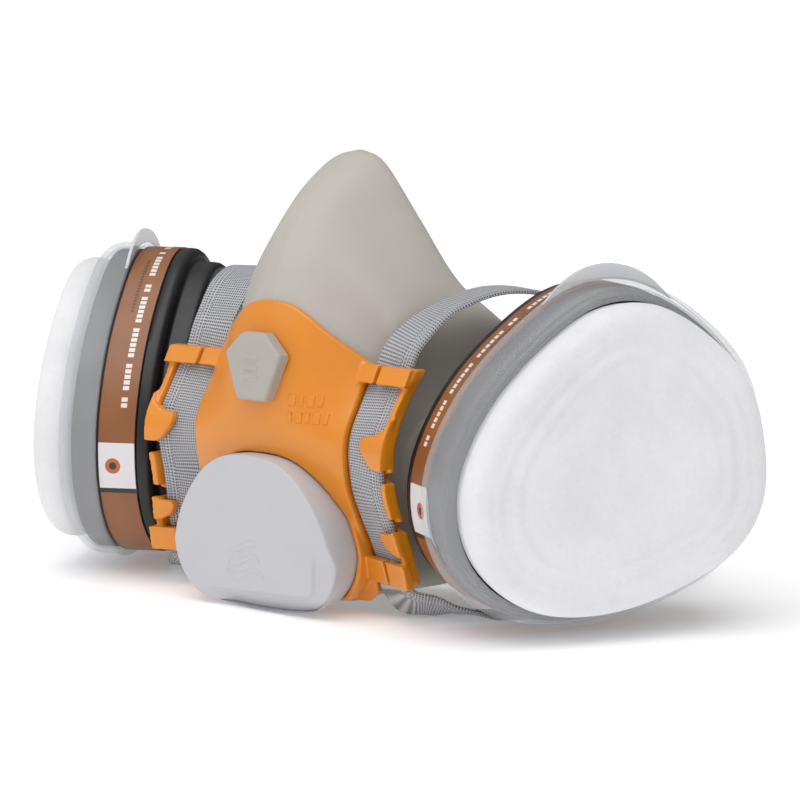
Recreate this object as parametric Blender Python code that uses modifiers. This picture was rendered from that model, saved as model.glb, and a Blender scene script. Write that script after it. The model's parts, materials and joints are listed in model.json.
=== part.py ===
"""Reusable half-mask respirator: rubber facepiece, moulded front frame with strap guides, exhalation valve
under a cover, two bayonet ports, two gas cartridges with clip-on prefilters, and a two-strap head harness.

Every size is in millimetres until a mesh is made; MM turns it into metres. The mask faces -Y, the wearer's
left is +X, and the table that it stands on is at z = TABLE. Left-hand parts are mirrored for the other side.
The last step moves everything so that the table is at z = 0 and the middle of the object is at y = 0.
"""

import math

import bmesh
import bpy
from mathutils import Matrix, Vector

MM = 0.001
GAP = 0.3                  # between touching pieces
BOX_CENTRE_Y = 64.7        # the middle of the finished object, which becomes its origin
TABLE = -3.0

# Cartridges. A cartridge's own axes are x towards the back of the head, y up, z outwards along the port.
CARTRIDGE_YAW = math.radians(62)       # port axis, turned from straight ahead
CARTRIDGE_TILT = math.radians(31)      # long axis of the cartridge above the horizontal
PORT_SIDE_DISTANCE = 47.0              # seat plane of a port, along its axis from the mask's middle
PORT_BACK_DISTANCE = 29.0              # port axis, back along the seat plane
OUTLINE_CENTRE = (26.6, 8.2)           # middle of the cartridge outline from the port axis
OUTLINE_HALF = [(-60, 0), (-56.5, 16), (-46, 30.5), (-27, 42.5), (-4, 49), (20, 50), (38, 41), (49.5, 23),
                (55, 0)]
OUTLINE_STEPS = 28

BACK_FACE = 7.0            # depths along the port axis from the seat
BACK_STEP = 15.0
BODY_BACK = 20.3
LABEL_FRONT = 33.0
SKIRT_BACK = 33.6
SKIRT_FRONT = 45.0
BODY_FRONT = 43.0
DOME_FRONT = 58.0
CAN_INSET, CAN_WALL = 2.4, 1.8
LABEL_INSET, LABEL_THICKNESS = 1.5, 0.6
FILLING_INSET = 4.5        # of the carbon, the dust screen and the grid, which leaves a gap to the can
CARBON_SPAN, SCREEN_SPAN, GRID_SPAN = (22.6, 37.6), (38.0, 39.4), (40.0, 42.4)
GRID_HOLE_RADIUS, GRID_PITCH = 6.0, (20.0, 17.4)
TAB_HALF_WIDTH, TAB_INWARD, TAB_OUTWARD, TAB_THICKNESS = 9.0, 0.9, 2.2, 1.4

# Bayonet
SPIGOT_RADIUS, SPIGOT_BORE, SPIGOT_FRONT, SPIGOT_BACK = 13.5, 11.0, 9.0, -16.0
FLANGE_RADIUS, FLANGE_BACK = 17.5, -2.2
LOCK_RING_SPAN, GASKET_RADIUS, GASKET_SPAN = (-14.6, -12.3), 17.0, (0.3, 1.7)
LUG_RADIUS, LUG_COUNT, LUG_SPAN = 16.0, 3, math.radians(28)
LUG_BACK, LUG_FRONT = 6.6, 8.6
HUB_RADIUS, HUB_BORE, HUB_RECESS, HUB_FRONT = 20.0, 14.0, 16.9, 2.2
SLOT_PLAY = math.radians(5)            # how much wider a slot is than its lug
CARTRIDGE_TWIST = math.radians(26)     # from the stop, on the lugs, to where the lugs meet the slots

# Exhalation valve and its cover, in a frame tipped forward by COVER_TIP
COVER_CENTRE = (0.0, -27.0, 24.5)
COVER_TIP = math.radians(3)
COVER_HALF = [(0, 24.5), (12, 23), (21.5, 17), (28.5, 8), (32.7, -1), (34, -9), (30.5, -18.5), (22, -25),
              (0, -27.1)]
COVER_STEPS = 36
COVER_BACK, COVER_FRONT = -3.0, 13.0
COVER_DRAFT = 1.6          # the walls lean in towards the frame
COVER_FALL = 5.0           # how much lower the face is at the bottom edge
COVER_FALL_START, COVER_FALL_LENGTH = -4.0, 23.0
VENT_PITCH, VENT_HALF_WIDTH, VENT_LOW, VENT_HIGH = 7.5, 2.6, -1.6, 2.6
HOUSING_BACK, HOUSING_FRONT, HOUSING_RIM, HOUSING_LOW = -6.6, -0.6, 0.6, -23.0
SEAT_RADIUS, SEAT_BORE, SEAT_FLANGE = 17.0, 12.0, 19.5
SEAT_BACK, SEAT_FRONT, SEAT_STEP = -6.4, -1.6, -3.0
SEAT_HUB_RADIUS, SEAT_HUB_BORE = 3.4, 1.5
BAR_HALF_WIDTH = 0.8       # of the bars across the valve seats
VALVE_RADIUS = 14.5

# Front frame: where its face lies along the middle, and where the strap lies in the guides
MIDDLE_PROFILE = [(-6, -17), (5, -20), (15, -23), (27, -27), (37, -31), (47, -34), (57, -35.2),
                  (67, -35.2), (77, -34.6), (88, -32.5), (100, -28.5)]
STRAP_PROFILE = [(-6, -17), (5, -19), (14, -21.4), (30, -26.5), (42, -30), (52, -31), (58, -29.3),
                 (66, -24.3), (75, -18.6), (83, -14.5), (100, -8)]
STRAP_SLOPE = [(5, 0.34), (15, 0.32), (30, 0.24), (50, 0.17), (77, 0.1)]   # how far the outer edge leads
GUIDE_SWAY = [(8, 3.6), (20, 2.9), (35, 0.4), (50, -0.4), (80, -0.5)]      # the guides splay at the bottom
GUIDE_LEVELS = (76, 70, 64, 58, 52, 46, 38, 30, 22, 14)                    # where the strap follows the guide
PANEL_HALF_WIDTH = 31.5
PANEL_STEP = 2.0           # the panel stands this much in front of the strap beside it
FRAME_WALL = 2.4
GUIDE_OUTER, RAIL_WIDTH = 51.0, 2.4
PANEL_OUTLINE = [(-2, 96.5), (5, 96.2), (10, 94.6), (14.5, 91.8), (20, 87.3), (26, 82.3), (31.5, 77.6),
                 (31.5, 5), (28, 1.5), (22, 0.8), (-2, 0.8)]
INNER_LEDGE = (29.6, 31.2, 9.8, 77.0)    # x and z limits of the wall between the panel and the guide
FLOOR_OUTLINE = [(30.3, 76.6), (51, 76.6), (51, 46.5), (47, 45.5), (47, 43.9), (51, 42.8), (51, 30.6),
                 (47, 30), (47, 28.4), (51, 27.3), (51, 10.1), (30.3, 10.1)]
FLOOR_THICKNESS = 2.0
RAIL_SPANS = [(47.8, 77.2), (31.7, 43.2), (10.4, 27.6)]
RAIL_RISE = 1.6
HOOKS = [
    [(50.6, 63.5), (48.9, 60), (45, 57.8), (40.4, 57), (39.6, 55.3), (40.6, 52.6), (44, 48.6), (46.4, 47.3),
     (50.6, 47.3)],
    [(50.6, 28), (47.6, 27), (43.4, 26.8), (42.4, 25), (44, 22), (47.6, 20), (50.6, 19.5)],
]
HOOK_THICKNESS = 2.7
TOP_BAR = (29.9, 51.3, 72.3, 77.8)       # x and z limits
BOTTOM_BAR = (30.7, 52.0, 9.3, 17.3)
BAR_THICKNESS = 3.8
SLITS = [(37.6, TOP_BAR), (41.6, BOTTOM_BAR)]
SLIT_WIDTH = 0.9

PLUG_CENTRE = (0.0, -35.0, 76.0)
PLUG_TIP = math.radians(-4)
PLUG_OUTLINE = [(5.2, -10.9), (6.3, -10.3), (11.5, 2.9), (11.5, 4.3), (5.3, 10.3), (4.2, 10.8)]
PLUG_THICKNESS = 3.8

# Facepiece: half-sections from the top of the nose to the chin, from the front frame round to the seal
FACE_WALL = 2.2
FACE_STEPS = 21
FACE_CLEARANCE = 1.2       # behind the frame
FACE_SEAT = [(0, 91), (9, 89.5), (16, 83), (20, 75), (22, 60), (23, 40), (22.5, 22), (17, 9), (0, 6)]
FACE_SECTIONS = [
    [(0, -24.4, 100.4), (10, -21.8, 97.5), (20, -15.6, 90.5), (29, -9.4, 81), (34.5, -10, 66), (37, -16, 50),
     (38, -14, 30), (35, -11, 12), (21, -11.5, 2), (0, -11.5, 0)],
    [(0, -18, 116), (8.5, -16, 113.5), (20.5, -10.3, 104.5), (31, -5.5, 91), (39, -2.5, 73), (43.5, -1, 50),
     (42, -1, 28), (33, -3, 8), (17, -4, 1.8), (0, -4, 0.6)],
    [(0, -3.5, 130.8), (8.6, -3, 128), (20.5, 1, 113.5), (32.8, 6.2, 98), (45, 14.3, 77), (50.5, 18, 50),
     (48, 17, 28), (37, 14, 9), (19, 11, 1.4), (0, 10, 0.2)],
    [(0, 13.3, 140.2), (8.6, 12.8, 137), (21, 14.8, 120), (34.8, 19, 99.5), (50, 31, 80), (56, 35, 52),
     (52, 34, 27), (39, 28, 8), (20, 22, 1.0), (0, 20, -0.3)],
    [(0, 18.8, 135.2), (7.5, 18.8, 131.3), (18.2, 21.8, 115.8), (29.5, 26.6, 97), (42.5, 38, 77),
     (46.5, 41, 52), (43, 40, 30), (33, 34, 13), (17, 28.5, 7), (0, 27, 6)],
]
BOSS_RADIUS, BOSS_BACK, BOSS_FRONT = 20.5, -12.0, -2.5

# Harness: each strap runs from the head cradle, through a guide, to the neck clasp
STRAP_WIDTH, STRAP_THICKNESS = 16.0, 1.4
STRAP_MIDDLE = 40.1
STRAP_TOP = [
    ((22, 148, 1.3), (0.5, 0.87, 0)), ((38, 138.5, 1.4), (0.55, 0.83, 0)),
    ((52, 124, 1.3), (0.75, 0.66, 0)), ((62, 112, 1.0), (0.85, 0.5, 0)),
    ((69, 100, 5), (0.95, 0.2, 0)), ((71, 87, 24), (1, -0.1, 0)),
    ((71, 74, 52), (1, -0.2, 0)), ((69, 58, 79), (1, -0.25, 0)),
    ((64.5, 39, 95), (0.95, -0.35, 0)), ((57, 17, 100), (0.9, -0.43, 0)),
    ((49.5, -1, 95.5), (0.93, -0.38, 0)), ((43, -12.5, 85.5), (1, -0.15, 0)),
]
STRAP_BOTTOM = [
    ((43.8, -18.6, 6.5), (0.96, -0.28, 0)), ((46, -17.4, 1.9), (0.95, -0.3, 0)),
    ((54, -13.5, -1.0), (0.78, -0.62, 0)), ((64, -3, -1.9), (0.75, -0.66, 0)),
    ((69, 12, -1.4), (0.98, -0.2, 0)), ((68, 24, -0.4), (1, 0.05, 0)),
    ((67, 50, -0.4), (1, 0.05, 0)), ((61, 66, -1.4), (0.9, 0.43, 0)),
    ((50, 80, -2.0), (0.68, 0.73, 0)), ((36, 90.5, -2.1), (0.3, 0.95, 0)),
    ((25, 94, -2.1), (0, 1, 0)), ((17, 94, -2.1), (0, 1, 0)),
]
STRAP_RINGS = 76
CRADLE_Y = 148.0
CLASP_Y = 94.0
CRADLE_SIZE, CRADLE_RADIUS, CRADLE_BAR_HALF = (86, 50), 20, (40, 2.5)
CLASP_HEIGHT, CLASP_SPAN = 24, (-2.7, 0.3)
TONGUE_HALF_WIDTH = 6
SLIDER_PLACE = (67.5, 37.0)
SLIDER_HALF, SLIDER_SPAN = (11, 5.5), (-2.8, 2.4)
SLIDER_SLOT_HALF, SLIDER_SLOT_SPAN = 8.6, (-1.5, 0.7)


# ---------------------------------------------------------------- small geometry helpers

def spline(points, steps, closed=False):
    """Points spaced evenly along a smooth curve through the given ones."""
    count = len(points)
    knots = [Vector(p) for p in points]
    dense = []
    spans = count if closed else count - 1
    for i in range(spans):
        before = knots[(i - 1) % count] if closed or i > 0 else 2 * knots[0] - knots[1]
        start, end = knots[i], knots[(i + 1) % count]
        after = knots[(i + 2) % count] if closed or i + 2 < count else 2 * knots[-1] - knots[-2]
        for j in range(12):
            t = j / 12
            curve = 2 * start + (end - before) * t
            curve += (2 * before - 5 * start + 4 * end - after) * t * t
            curve += (3 * start - before - 3 * end + after) * t ** 3
            dense.append(curve / 2)
    dense.append(knots[0] if closed else knots[-1])
    return evenly(dense, steps, closed)


def evenly(dense, steps, closed=False):
    """The polyline resampled to points at equal distances."""
    lengths = [0.0]
    for a, b in zip(dense, dense[1:]):
        lengths.append(lengths[-1] + (b - a).length)
    wanted = [lengths[-1] * i / (steps if closed else steps - 1) for i in range(steps)]
    result, k = [], 0
    for distance in wanted:
        while k < len(dense) - 2 and lengths[k + 1] < distance:
            k += 1
        share = (distance - lengths[k]) / max(lengths[k + 1] - lengths[k], 1e-9)
        result.append(dense[k].lerp(dense[k + 1], share))
    return result


def table_value(table, at):
    """Smooth value of a (position, value) table."""
    if at <= table[0][0]:
        return table[0][1]
    if at >= table[-1][0]:
        return table[-1][1]
    i = max(k for k in range(len(table) - 1) if table[k][0] <= at)
    (x0, y0), (x1, y1) = table[i], table[i + 1]
    slope0 = (y1 - table[i - 1][1]) / (x1 - table[i - 1][0]) if i > 0 else (y1 - y0) / (x1 - x0)
    slope1 = (table[i + 2][1] - y0) / (table[i + 2][0] - x0) if i + 2 < len(table) else (y1 - y0) / (x1 - x0)
    span = x1 - x0
    t = (at - x0) / span
    return ((2 * t ** 3 - 3 * t * t + 1) * y0 + (t ** 3 - 2 * t * t + t) * span * slope0
            + (3 * t * t - 2 * t ** 3) * y1 + (t ** 3 - t * t) * span * slope1)


def smooth(share):
    share = min(1.0, max(0.0, share))
    return share * share * (3 - 2 * share)


def inset(outline, distance):
    """A closed counter-clockwise outline moved inwards along its normals."""
    count = len(outline)
    moved = []
    for i, point in enumerate(outline):
        along = outline[(i + 1) % count] - outline[i - 1]
        moved.append(point + Vector((-along.y, along.x)).normalized() * distance)
    return moved


def shrunk(outline, share):
    """An outline drawn in towards its middle, which keeps it from folding over itself."""
    middle = sum(outline, Vector((0, 0))) / len(outline)
    return [middle.lerp(point, share) for point in outline]


def mirrored_outline(half, steps):
    """A closed counter-clockwise outline from one half that starts and ends on the line of symmetry."""
    other = [(-x, y) for x, y in half[-2:0:-1]]
    return spline([Vector(p) for p in half + other], steps, closed=True)[::-1]


def cartridge_outline(distance=0.0, steps=OUTLINE_STEPS):
    """The rounded, tapering outline of a cartridge around its port axis, moved inwards by the distance."""
    lower = [(p, -w) for p, w in OUTLINE_HALF]
    upper = [(p, w) for p, w in OUTLINE_HALF[-2:0:-1]]
    outline = inset(spline([Vector(p) for p in lower + upper], steps, closed=True), distance)
    turn = Matrix.Rotation(CARTRIDGE_TILT, 2)
    return [turn @ point + Vector(OUTLINE_CENTRE) for point in outline]


PORT_HEIGHT = -min(point.y for point in cartridge_outline())


def cover_outline(distance=0.0, steps=COVER_STEPS):
    return inset(mirrored_outline(COVER_HALF, steps), distance)


# ---------------------------------------------------------------- places

def port_matrix(side):
    """Axes of a port: x back, y up, z out of the mask. The left-hand one is mirrored by its mesh, not here."""
    out = Vector((side * math.sin(CARTRIDGE_YAW), -math.cos(CARTRIDGE_YAW), 0))
    back = Vector((side * math.cos(CARTRIDGE_YAW), math.sin(CARTRIDGE_YAW), 0))
    up = Vector((0, 0, 1))
    place = out * PORT_SIDE_DISTANCE + back * PORT_BACK_DISTANCE + up * PORT_HEIGHT
    matrix = Matrix((back * side, up, out)).transposed().to_4x4()
    matrix.translation = place
    return matrix


def cover_matrix():
    """Axes of the exhalation valve: x across, y up its face, z out of the mask."""
    matrix = Matrix.Rotation(math.pi / 2 + COVER_TIP, 4, 'X')
    matrix.translation = COVER_CENTRE
    return matrix


def make_empty(name, matrix, parent=None):
    empty = bpy.data.objects.new(name, None)
    bpy.context.scene.collection.objects.link(empty)
    empty.matrix_world = matrix
    if parent:
        empty.parent = parent
        empty.matrix_parent_inverse = parent.matrix_world.inverted()
    return empty


def in_metres(matrix):
    scaled = matrix.copy()
    scaled.translation = matrix.translation * MM
    return scaled


# ---------------------------------------------------------------- materials

def material(name, colour, roughness, metallic=0.0, alpha=1.0):
    made = bpy.data.materials.get(name) or bpy.data.materials.new(name)
    made.use_nodes = True
    shader = made.node_tree.nodes["Principled BSDF"]
    shader.inputs["Base Color"].default_value = (*colour, 1)
    shader.inputs["Roughness"].default_value = roughness
    shader.inputs["Metallic"].default_value = metallic
    shader.inputs["Alpha"].default_value = alpha
    return made


RUBBER = ("rubber", (0.42, 0.40, 0.37), 0.6)
ORANGE = ("orange_plastic", (0.82, 0.33, 0.03), 0.4)
PALE_GREY = ("pale_grey_plastic", (0.58, 0.58, 0.60), 0.5)
BLACK = ("black_plastic", (0.02, 0.02, 0.022), 0.4)
CLEAR = ("clear_plastic", (0.85, 0.87, 0.88), 0.15, 0.0, 0.35)
WHITE_FELT = ("white_felt", (0.85, 0.85, 0.86), 0.9)
LABEL = ("brown_label", (0.24, 0.08, 0.03), 0.35)
CARBON = ("carbon", (0.02, 0.02, 0.02), 0.95)
SILICONE = ("silicone", (0.75, 0.72, 0.62), 0.5)
WEBBING = ("webbing", (0.36, 0.37, 0.40), 0.85)
DARK_GREY = ("dark_grey_plastic", (0.09, 0.09, 0.10), 0.45)


# ---------------------------------------------------------------- object makers

def finish(bm, name, look, side=1, place=None, parent=None):
    """Turns a bmesh in millimetres into an object in metres. side = -1 mirrors it in its own x."""
    bmesh.ops.scale(bm, vec=(MM * side, MM, MM), verts=bm.verts)
    bmesh.ops.recalc_face_normals(bm, faces=bm.faces)
    mesh = bpy.data.meshes.new(name)
    bm.to_mesh(mesh)
    bm.free()
    return link(mesh, name, look, place, parent)


def link(mesh, name, look, place=None, parent=None):
    obj = bpy.data.objects.new(name, mesh)
    PARTS.objects.link(obj)
    if look:
        obj.data.materials.append(material(*look))
    if place is not None:
        obj.matrix_world = in_metres(place)
    if parent:
        world = obj.matrix_world.copy()
        obj.parent = parent
        obj.matrix_parent_inverse = parent.matrix_world.inverted()
        obj.matrix_world = world
    mesh.shade_smooth()
    mesh.set_sharp_from_angle(angle=math.radians(35))
    return obj


def as_cutter(obj):
    obj.hide_render = True
    obj.display_type = 'WIRE'
    for collection in list(obj.users_collection):
        collection.objects.unlink(obj)
    CUTTERS.objects.link(obj)
    return obj


def boolean(obj, other, operation, solver='EXACT'):
    modifier = obj.modifiers.new(operation.lower() + "_" + other.name, 'BOOLEAN')
    modifier.operation = operation
    modifier.object = as_cutter(other)
    modifier.solver = solver
    return obj


def solidify(obj, thickness, offset=-1.0):
    modifier = obj.modifiers.new("wall", 'SOLIDIFY')
    modifier.thickness = thickness * MM
    modifier.offset = offset
    modifier.use_even_offset = True
    return obj


def loft(rings, closed_start=True, closed_end=True, loop=False):
    """A skin over rings of equally many points. loop joins the last ring back to the first."""
    bm = bmesh.new()
    rows = [[bm.verts.new(point) for point in ring] for ring in rings]
    pairs = list(zip(rows, rows[1:] + rows[:1])) if loop else list(zip(rows, rows[1:]))
    for low, high in pairs:
        for i in range(len(low)):
            j = (i + 1) % len(low)
            bm.faces.new((low[i], low[j], high[j], high[i]))
    if closed_start and not loop:
        bm.faces.new(rows[0][::-1])
    if closed_end and not loop:
        bm.faces.new(rows[-1])
    return bm


def prism(outline, low, high, hole=None):
    """A flat outline made solid between two heights, with an optional hole of as many points."""
    def raised(points, height):
        return [Vector((p.x, p.y, height)) for p in points]
    if hole is None:
        return loft([raised(outline, low), raised(outline, high)])
    return loft([raised(outline, low), raised(outline, high), raised(hole, high), raised(hole, low)], loop=True)


def turned(name, profile, look, place, parent=None, steps=22):
    """A profile of (radius, height) points, closed, turned round z with a Screw modifier."""
    bm = bmesh.new()
    verts = [bm.verts.new((radius * MM, 0, height * MM)) for radius, height in profile]
    solid = abs(profile[0][0]) < 1e-6 and abs(profile[-1][0]) < 1e-6
    for a, b in zip(verts, verts[1:] + ([] if solid else verts[:1])):
        bm.edges.new((a, b))
    mesh = bpy.data.meshes.new(name)
    bm.to_mesh(mesh)
    bm.free()
    obj = link(mesh, name, look, place, parent)
    screw = obj.modifiers.new("turn", 'SCREW')
    screw.steps = screw.render_steps = steps
    screw.use_merge_vertices = True
    screw.merge_threshold = 0.00001
    return obj


def box(low, high):
    bm = bmesh.new()
    size = [h - l for l, h in zip(low, high)]
    middle = [(h + l) / 2 for l, h in zip(low, high)]
    bmesh.ops.create_cube(bm, size=1.0)
    bmesh.ops.scale(bm, vec=size, verts=bm.verts)
    bmesh.ops.translate(bm, vec=middle, verts=bm.verts)
    return bm


def applied(obj):
    """The object with its modifiers made part of its mesh."""
    graph = bpy.context.evaluated_depsgraph_get()
    mesh = bpy.data.meshes.new_from_object(obj.evaluated_get(graph), depsgraph=graph)
    obj.modifiers.clear()
    obj.data = mesh
    return obj


# ---------------------------------------------------------------- front frame

def strap_front(z):
    return table_value(STRAP_PROFILE, z)


def guide_front(x, z):
    """The strap's face where it runs through a guide."""
    return strap_front(z) - table_value(STRAP_SLOPE, z) * (abs(x) - STRAP_MIDDLE)


def sway(x, z):
    """How far a point of the frame lies outside its place in the flat outline."""
    return math.copysign(table_value(GUIDE_SWAY, z) * min(1.0, abs(x) / PANEL_HALF_WIDTH) ** 2, x)


def panel_front(x, z):
    """The face of the front frame: bowed across, and level with the guides at its sides."""
    middle = table_value(MIDDLE_PROFILE, z)
    side = guide_front(PANEL_HALF_WIDTH, z) - PANEL_STEP
    return middle + (side - middle) * min(1.0, abs(x) / PANEL_HALF_WIDTH) ** 2.2


def plate(outline, front, thickness, grid=9.0):
    """A flat outline in x and z, bent so that its front lies at front(x, z), and given a thickness."""
    bm = bmesh.new()
    bm.faces.new([bm.verts.new((x, 0, z)) for x, z in outline])
    for axis in (0, 2):
        values = [v.co[axis] for v in bm.verts]
        cut = grid * math.ceil(min(values) / grid + 0.01)
        while cut < max(values) - 0.05 * grid:
            point, normal = Vector(), Vector()
            point[axis], normal[axis] = cut, 1.0
            whole = bm.verts[:] + bm.edges[:] + bm.faces[:]
            bmesh.ops.bisect_plane(bm, geom=whole, plane_co=point, plane_no=normal)
            cut += grid
    bmesh.ops.dissolve_degenerate(bm, edges=bm.edges, dist=0.02)
    back = bmesh.ops.extrude_face_region(bm, geom=bm.faces[:])
    moved = {v for v in back["geom"] if isinstance(v, bmesh.types.BMVert)}
    for vert in bm.verts:
        x, z = vert.co.x, vert.co.z
        vert.co.y = front(x, z) + (thickness if vert in moved else 0.0)
        vert.co.x += sway(x, z)
    return bm


def ledge(left, right, low, high, front, back):
    """A block that follows the strap up the guide, from front to back measured from the strap's face."""
    outline = [(left, high), (right, high), (right, low), (left, low)]
    return plate(outline, lambda x, z: guide_front(x, z) + front, back - front)


def make_front_frame():
    """Panel, valve housing and strap guides as one moulding."""
    half = finish(plate(PANEL_OUTLINE, panel_front, FRAME_WALL), "front_frame", ORANGE)
    floor_front = STRAP_THICKNESS + 2 * GAP
    pieces = [ledge(*INNER_LEDGE, 1.0 - PANEL_STEP, floor_front + 1.6),
              plate(FLOOR_OUTLINE, lambda x, z: guide_front(x, z) + floor_front, FLOOR_THICKNESS)]
    for low, high in RAIL_SPANS:
        inner, outer = GUIDE_OUTER - RAIL_WIDTH, GUIDE_OUTER - 0.2
        pieces.append(ledge(inner, outer, low, high, -RAIL_RISE, floor_front + 1.3))
    for hook in HOOKS:
        pieces.append(plate(hook, lambda x, z: guide_front(x, z) - GAP - HOOK_THICKNESS, HOOK_THICKNESS))
    for left, right, low, high in (TOP_BAR, BOTTOM_BAR):
        pieces.append(ledge(left, right, low, high, -GAP - BAR_THICKNESS, -GAP))
    for number, piece in enumerate(pieces):
        boolean(half, finish(piece, f"frame_piece_{number}", ORANGE), 'UNION', 'MANIFOLD')
    for number, (middle, (_, _, low, high)) in enumerate(SLITS):
        near, far = middle - SLIT_WIDTH / 2, middle + SLIT_WIDTH / 2
        slit = ledge(near, far, low - 1, high + 1, -BAR_THICKNESS - 3, 0.4)
        boolean(half, finish(slit, f"frame_slit_{number}", ORANGE), 'DIFFERENCE', 'MANIFOLD')
    applied(half)
    cover = cover_matrix()
    outline = [Vector((p.x, max(p.y, HOUSING_LOW + 0.02 * p.x))) for p in cover_outline(-HOUSING_RIM)]
    housing = finish(prism(outline, HOUSING_BACK, HOUSING_FRONT), "frame_housing", ORANGE, 1, cover)
    mirror = half.modifiers.new("mirror", 'MIRROR')
    mirror.use_bisect_axis[0] = True
    mirror.bisect_threshold = mirror.merge_threshold = 0.00001
    boolean(half, housing, 'UNION', 'MANIFOLD')
    levels = [(COVER_DRAFT - GAP, COVER_BACK - GAP), (-GAP, COVER_FRONT), (-GAP, 40)]
    rings = [[Vector((p.x, p.y, height)) for p in cover_outline(distance)] for distance, height in levels]
    pocket = finish(loft(rings), "frame_pocket", ORANGE, 1, cover)
    boolean(half, pocket, 'DIFFERENCE', 'MANIFOLD')
    boolean(half, drum("frame_valve_hole", SEAT_RADIUS + GAP, -20, 20, 1, cover), 'DIFFERENCE', 'MANIFOLD')
    return applied(half)


def drum(name, radius, low, high, side=1, place=None, steps=28):
    """A plain round cutter or boss along z."""
    bm = bmesh.new()
    bmesh.ops.create_cone(bm, cap_ends=True, segments=steps, radius1=radius, radius2=radius, depth=high - low)
    bmesh.ops.translate(bm, vec=(0, 0, (low + high) / 2), verts=bm.verts)
    return finish(bm, name, ORANGE, side, place)


def make_size_plug():
    """The six-sided plug that carries the size mark."""
    right = [Vector(p) for p in PLUG_OUTLINE]
    outline = right + [Vector((-x, y)) for x, y in reversed(PLUG_OUTLINE)]
    matrix = Matrix.Rotation(math.pi / 2 + PLUG_TIP, 4, 'X')
    matrix.translation = PLUG_CENTRE
    levels = [(0.5, 1.0), (0, 2.0), (0, PLUG_THICKNESS - 0.9), (0.9, PLUG_THICKNESS)]
    rings = [[Vector((p.x, p.y, height)) for p in inset(outline, distance)] for distance, height in levels]
    return finish(loft(rings), "size_plug", RUBBER, 1, matrix)


# ---------------------------------------------------------------- exhalation valve

def cover_ring(distance, depth, share=1.0):
    """The cover's outline at a depth behind its face, which falls away towards the bottom edge."""
    ring = []
    for point in shrunk(cover_outline(distance), share):
        fall = COVER_FALL * (min(0.0, point.y - COVER_FALL_START) / COVER_FALL_LENGTH) ** 2
        height = COVER_BACK if depth is None else COVER_FRONT - fall - depth
        ring.append(Vector((point.x, point.y, height)))
    return ring


def make_exhalation_valve(joints):
    place = cover_matrix()
    profile = [(SEAT_RADIUS, SEAT_BACK), (SEAT_BORE, SEAT_BACK), (SEAT_BORE, SEAT_FRONT),
               (SEAT_FLANGE, SEAT_FRONT), (SEAT_FLANGE, SEAT_STEP), (SEAT_RADIUS, SEAT_STEP)]
    seat = turned("exhalation_valve_seat", profile, BLACK, place)
    applied(seat)
    for turn in range(3):
        reach = SEAT_BORE + 0.6
        bar = box((-reach, -BAR_HALF_WIDTH, SEAT_BACK + 1), (reach, BAR_HALF_WIDTH, SEAT_FRONT - 2))
        bmesh.ops.rotate(bar, verts=bar.verts, matrix=Matrix.Rotation(turn * math.pi / 3, 3, 'Z'))
        boolean(seat, finish(bar, f"seat_bar_{turn}", BLACK, 1, place), 'UNION')
    boolean(seat, drum("seat_hub", SEAT_HUB_RADIUS, SEAT_BACK + 0.8, SEAT_FRONT, 1, place, 20), 'UNION')
    boolean(seat, drum("seat_hub_hole", SEAT_HUB_BORE, -8, 0, 1, place, 16), 'DIFFERENCE')
    applied(seat)
    profile = [(0, 0.5), (2, 0.4), (3, -0.5), (VALVE_RADIUS, -0.7), (VALVE_RADIUS, -1.1),
               (VALVE_RADIUS - 1, -1.3), (1.2, -1.3), (1.2, -6.6), (0, -6.6)]
    turned("exhalation_valve_disc", profile, SILICONE, place, joints["valve_disc"])

    outer = [cover_ring(COVER_DRAFT, None)] + [cover_ring(distance, depth) for distance, depth in (
        (0.1, 2.2), (0.4, 1.0), (1.2, 0.3), (2.4, 0))] + [cover_ring(2.4, 0, 0.55)]
    inner = [cover_ring(2.4, 2.2, 0.5), cover_ring(4.5, 2.2), cover_ring(2.4, 3.4)]
    rings = outer[::-1] + [cover_ring(COVER_DRAFT + 1.8, None)] + inner[::-1]
    cover = finish(loft(rings), "valve_cover", PALE_GREY, 1, place, joints["valve_cover"])
    for number in range(-2, 3):
        middle = number * VENT_PITCH
        vent = box((middle - VENT_HALF_WIDTH, -30, VENT_LOW), (middle + VENT_HALF_WIDTH, -19, VENT_HIGH))
        boolean(cover, finish(vent, f"cover_vent_{number + 2}", PALE_GREY, 1, place), 'DIFFERENCE')
    applied(cover)


# ---------------------------------------------------------------- facepiece

def face_ring(section):
    """A full ring of the facepiece from its half-section."""
    half = spline([Vector(p) for p in section], FACE_STEPS)
    half[0].x = half[-1].x = 0.0
    return half + [Vector((-p.x, p.y, p.z)) for p in half[-2:0:-1]]


def make_facepiece():
    """The rubber body: a skin through its rings, thickened inwards, with a boss and a hole for each port."""
    seat = [(x, panel_front(x, z) + FRAME_WALL + FACE_CLEARANCE, z) for x, z in FACE_SEAT]
    rings = [face_ring(seat)] + [face_ring(section) for section in FACE_SECTIONS]
    cover = cover_matrix()
    behind = cover.inverted()
    for point in rings[0]:
        local = behind @ point
        if local.z > HOUSING_BACK - GAP - 0.1 and abs(local.y) < 31:
            local.z = HOUSING_BACK - GAP - 0.1
            point[:] = cover @ local
    face = finish(loft([row[::-1] for row in rings], closed_start=False, closed_end=False), "facepiece", RUBBER)
    solidify(face, FACE_WALL)
    applied(face)
    for side in (1, -1):
        port = port_matrix(side)
        boss = drum(f"face_boss_{side + 1}", BOSS_RADIUS, BOSS_BACK, BOSS_FRONT, side, port)
        spot = drum(f"face_spot_{side + 1}", FLANGE_RADIUS + 0.6, -40, BOSS_BACK, side, port)
        hole = drum(f"face_port_hole_{side + 1}", SPIGOT_RADIUS + GAP, -40, 10, side, port)
        boolean(face, boss, 'UNION')
        boolean(face, spot, 'DIFFERENCE')
        boolean(face, hole, 'DIFFERENCE')
    return applied(face)


# ---------------------------------------------------------------- ports and cartridges

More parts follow.
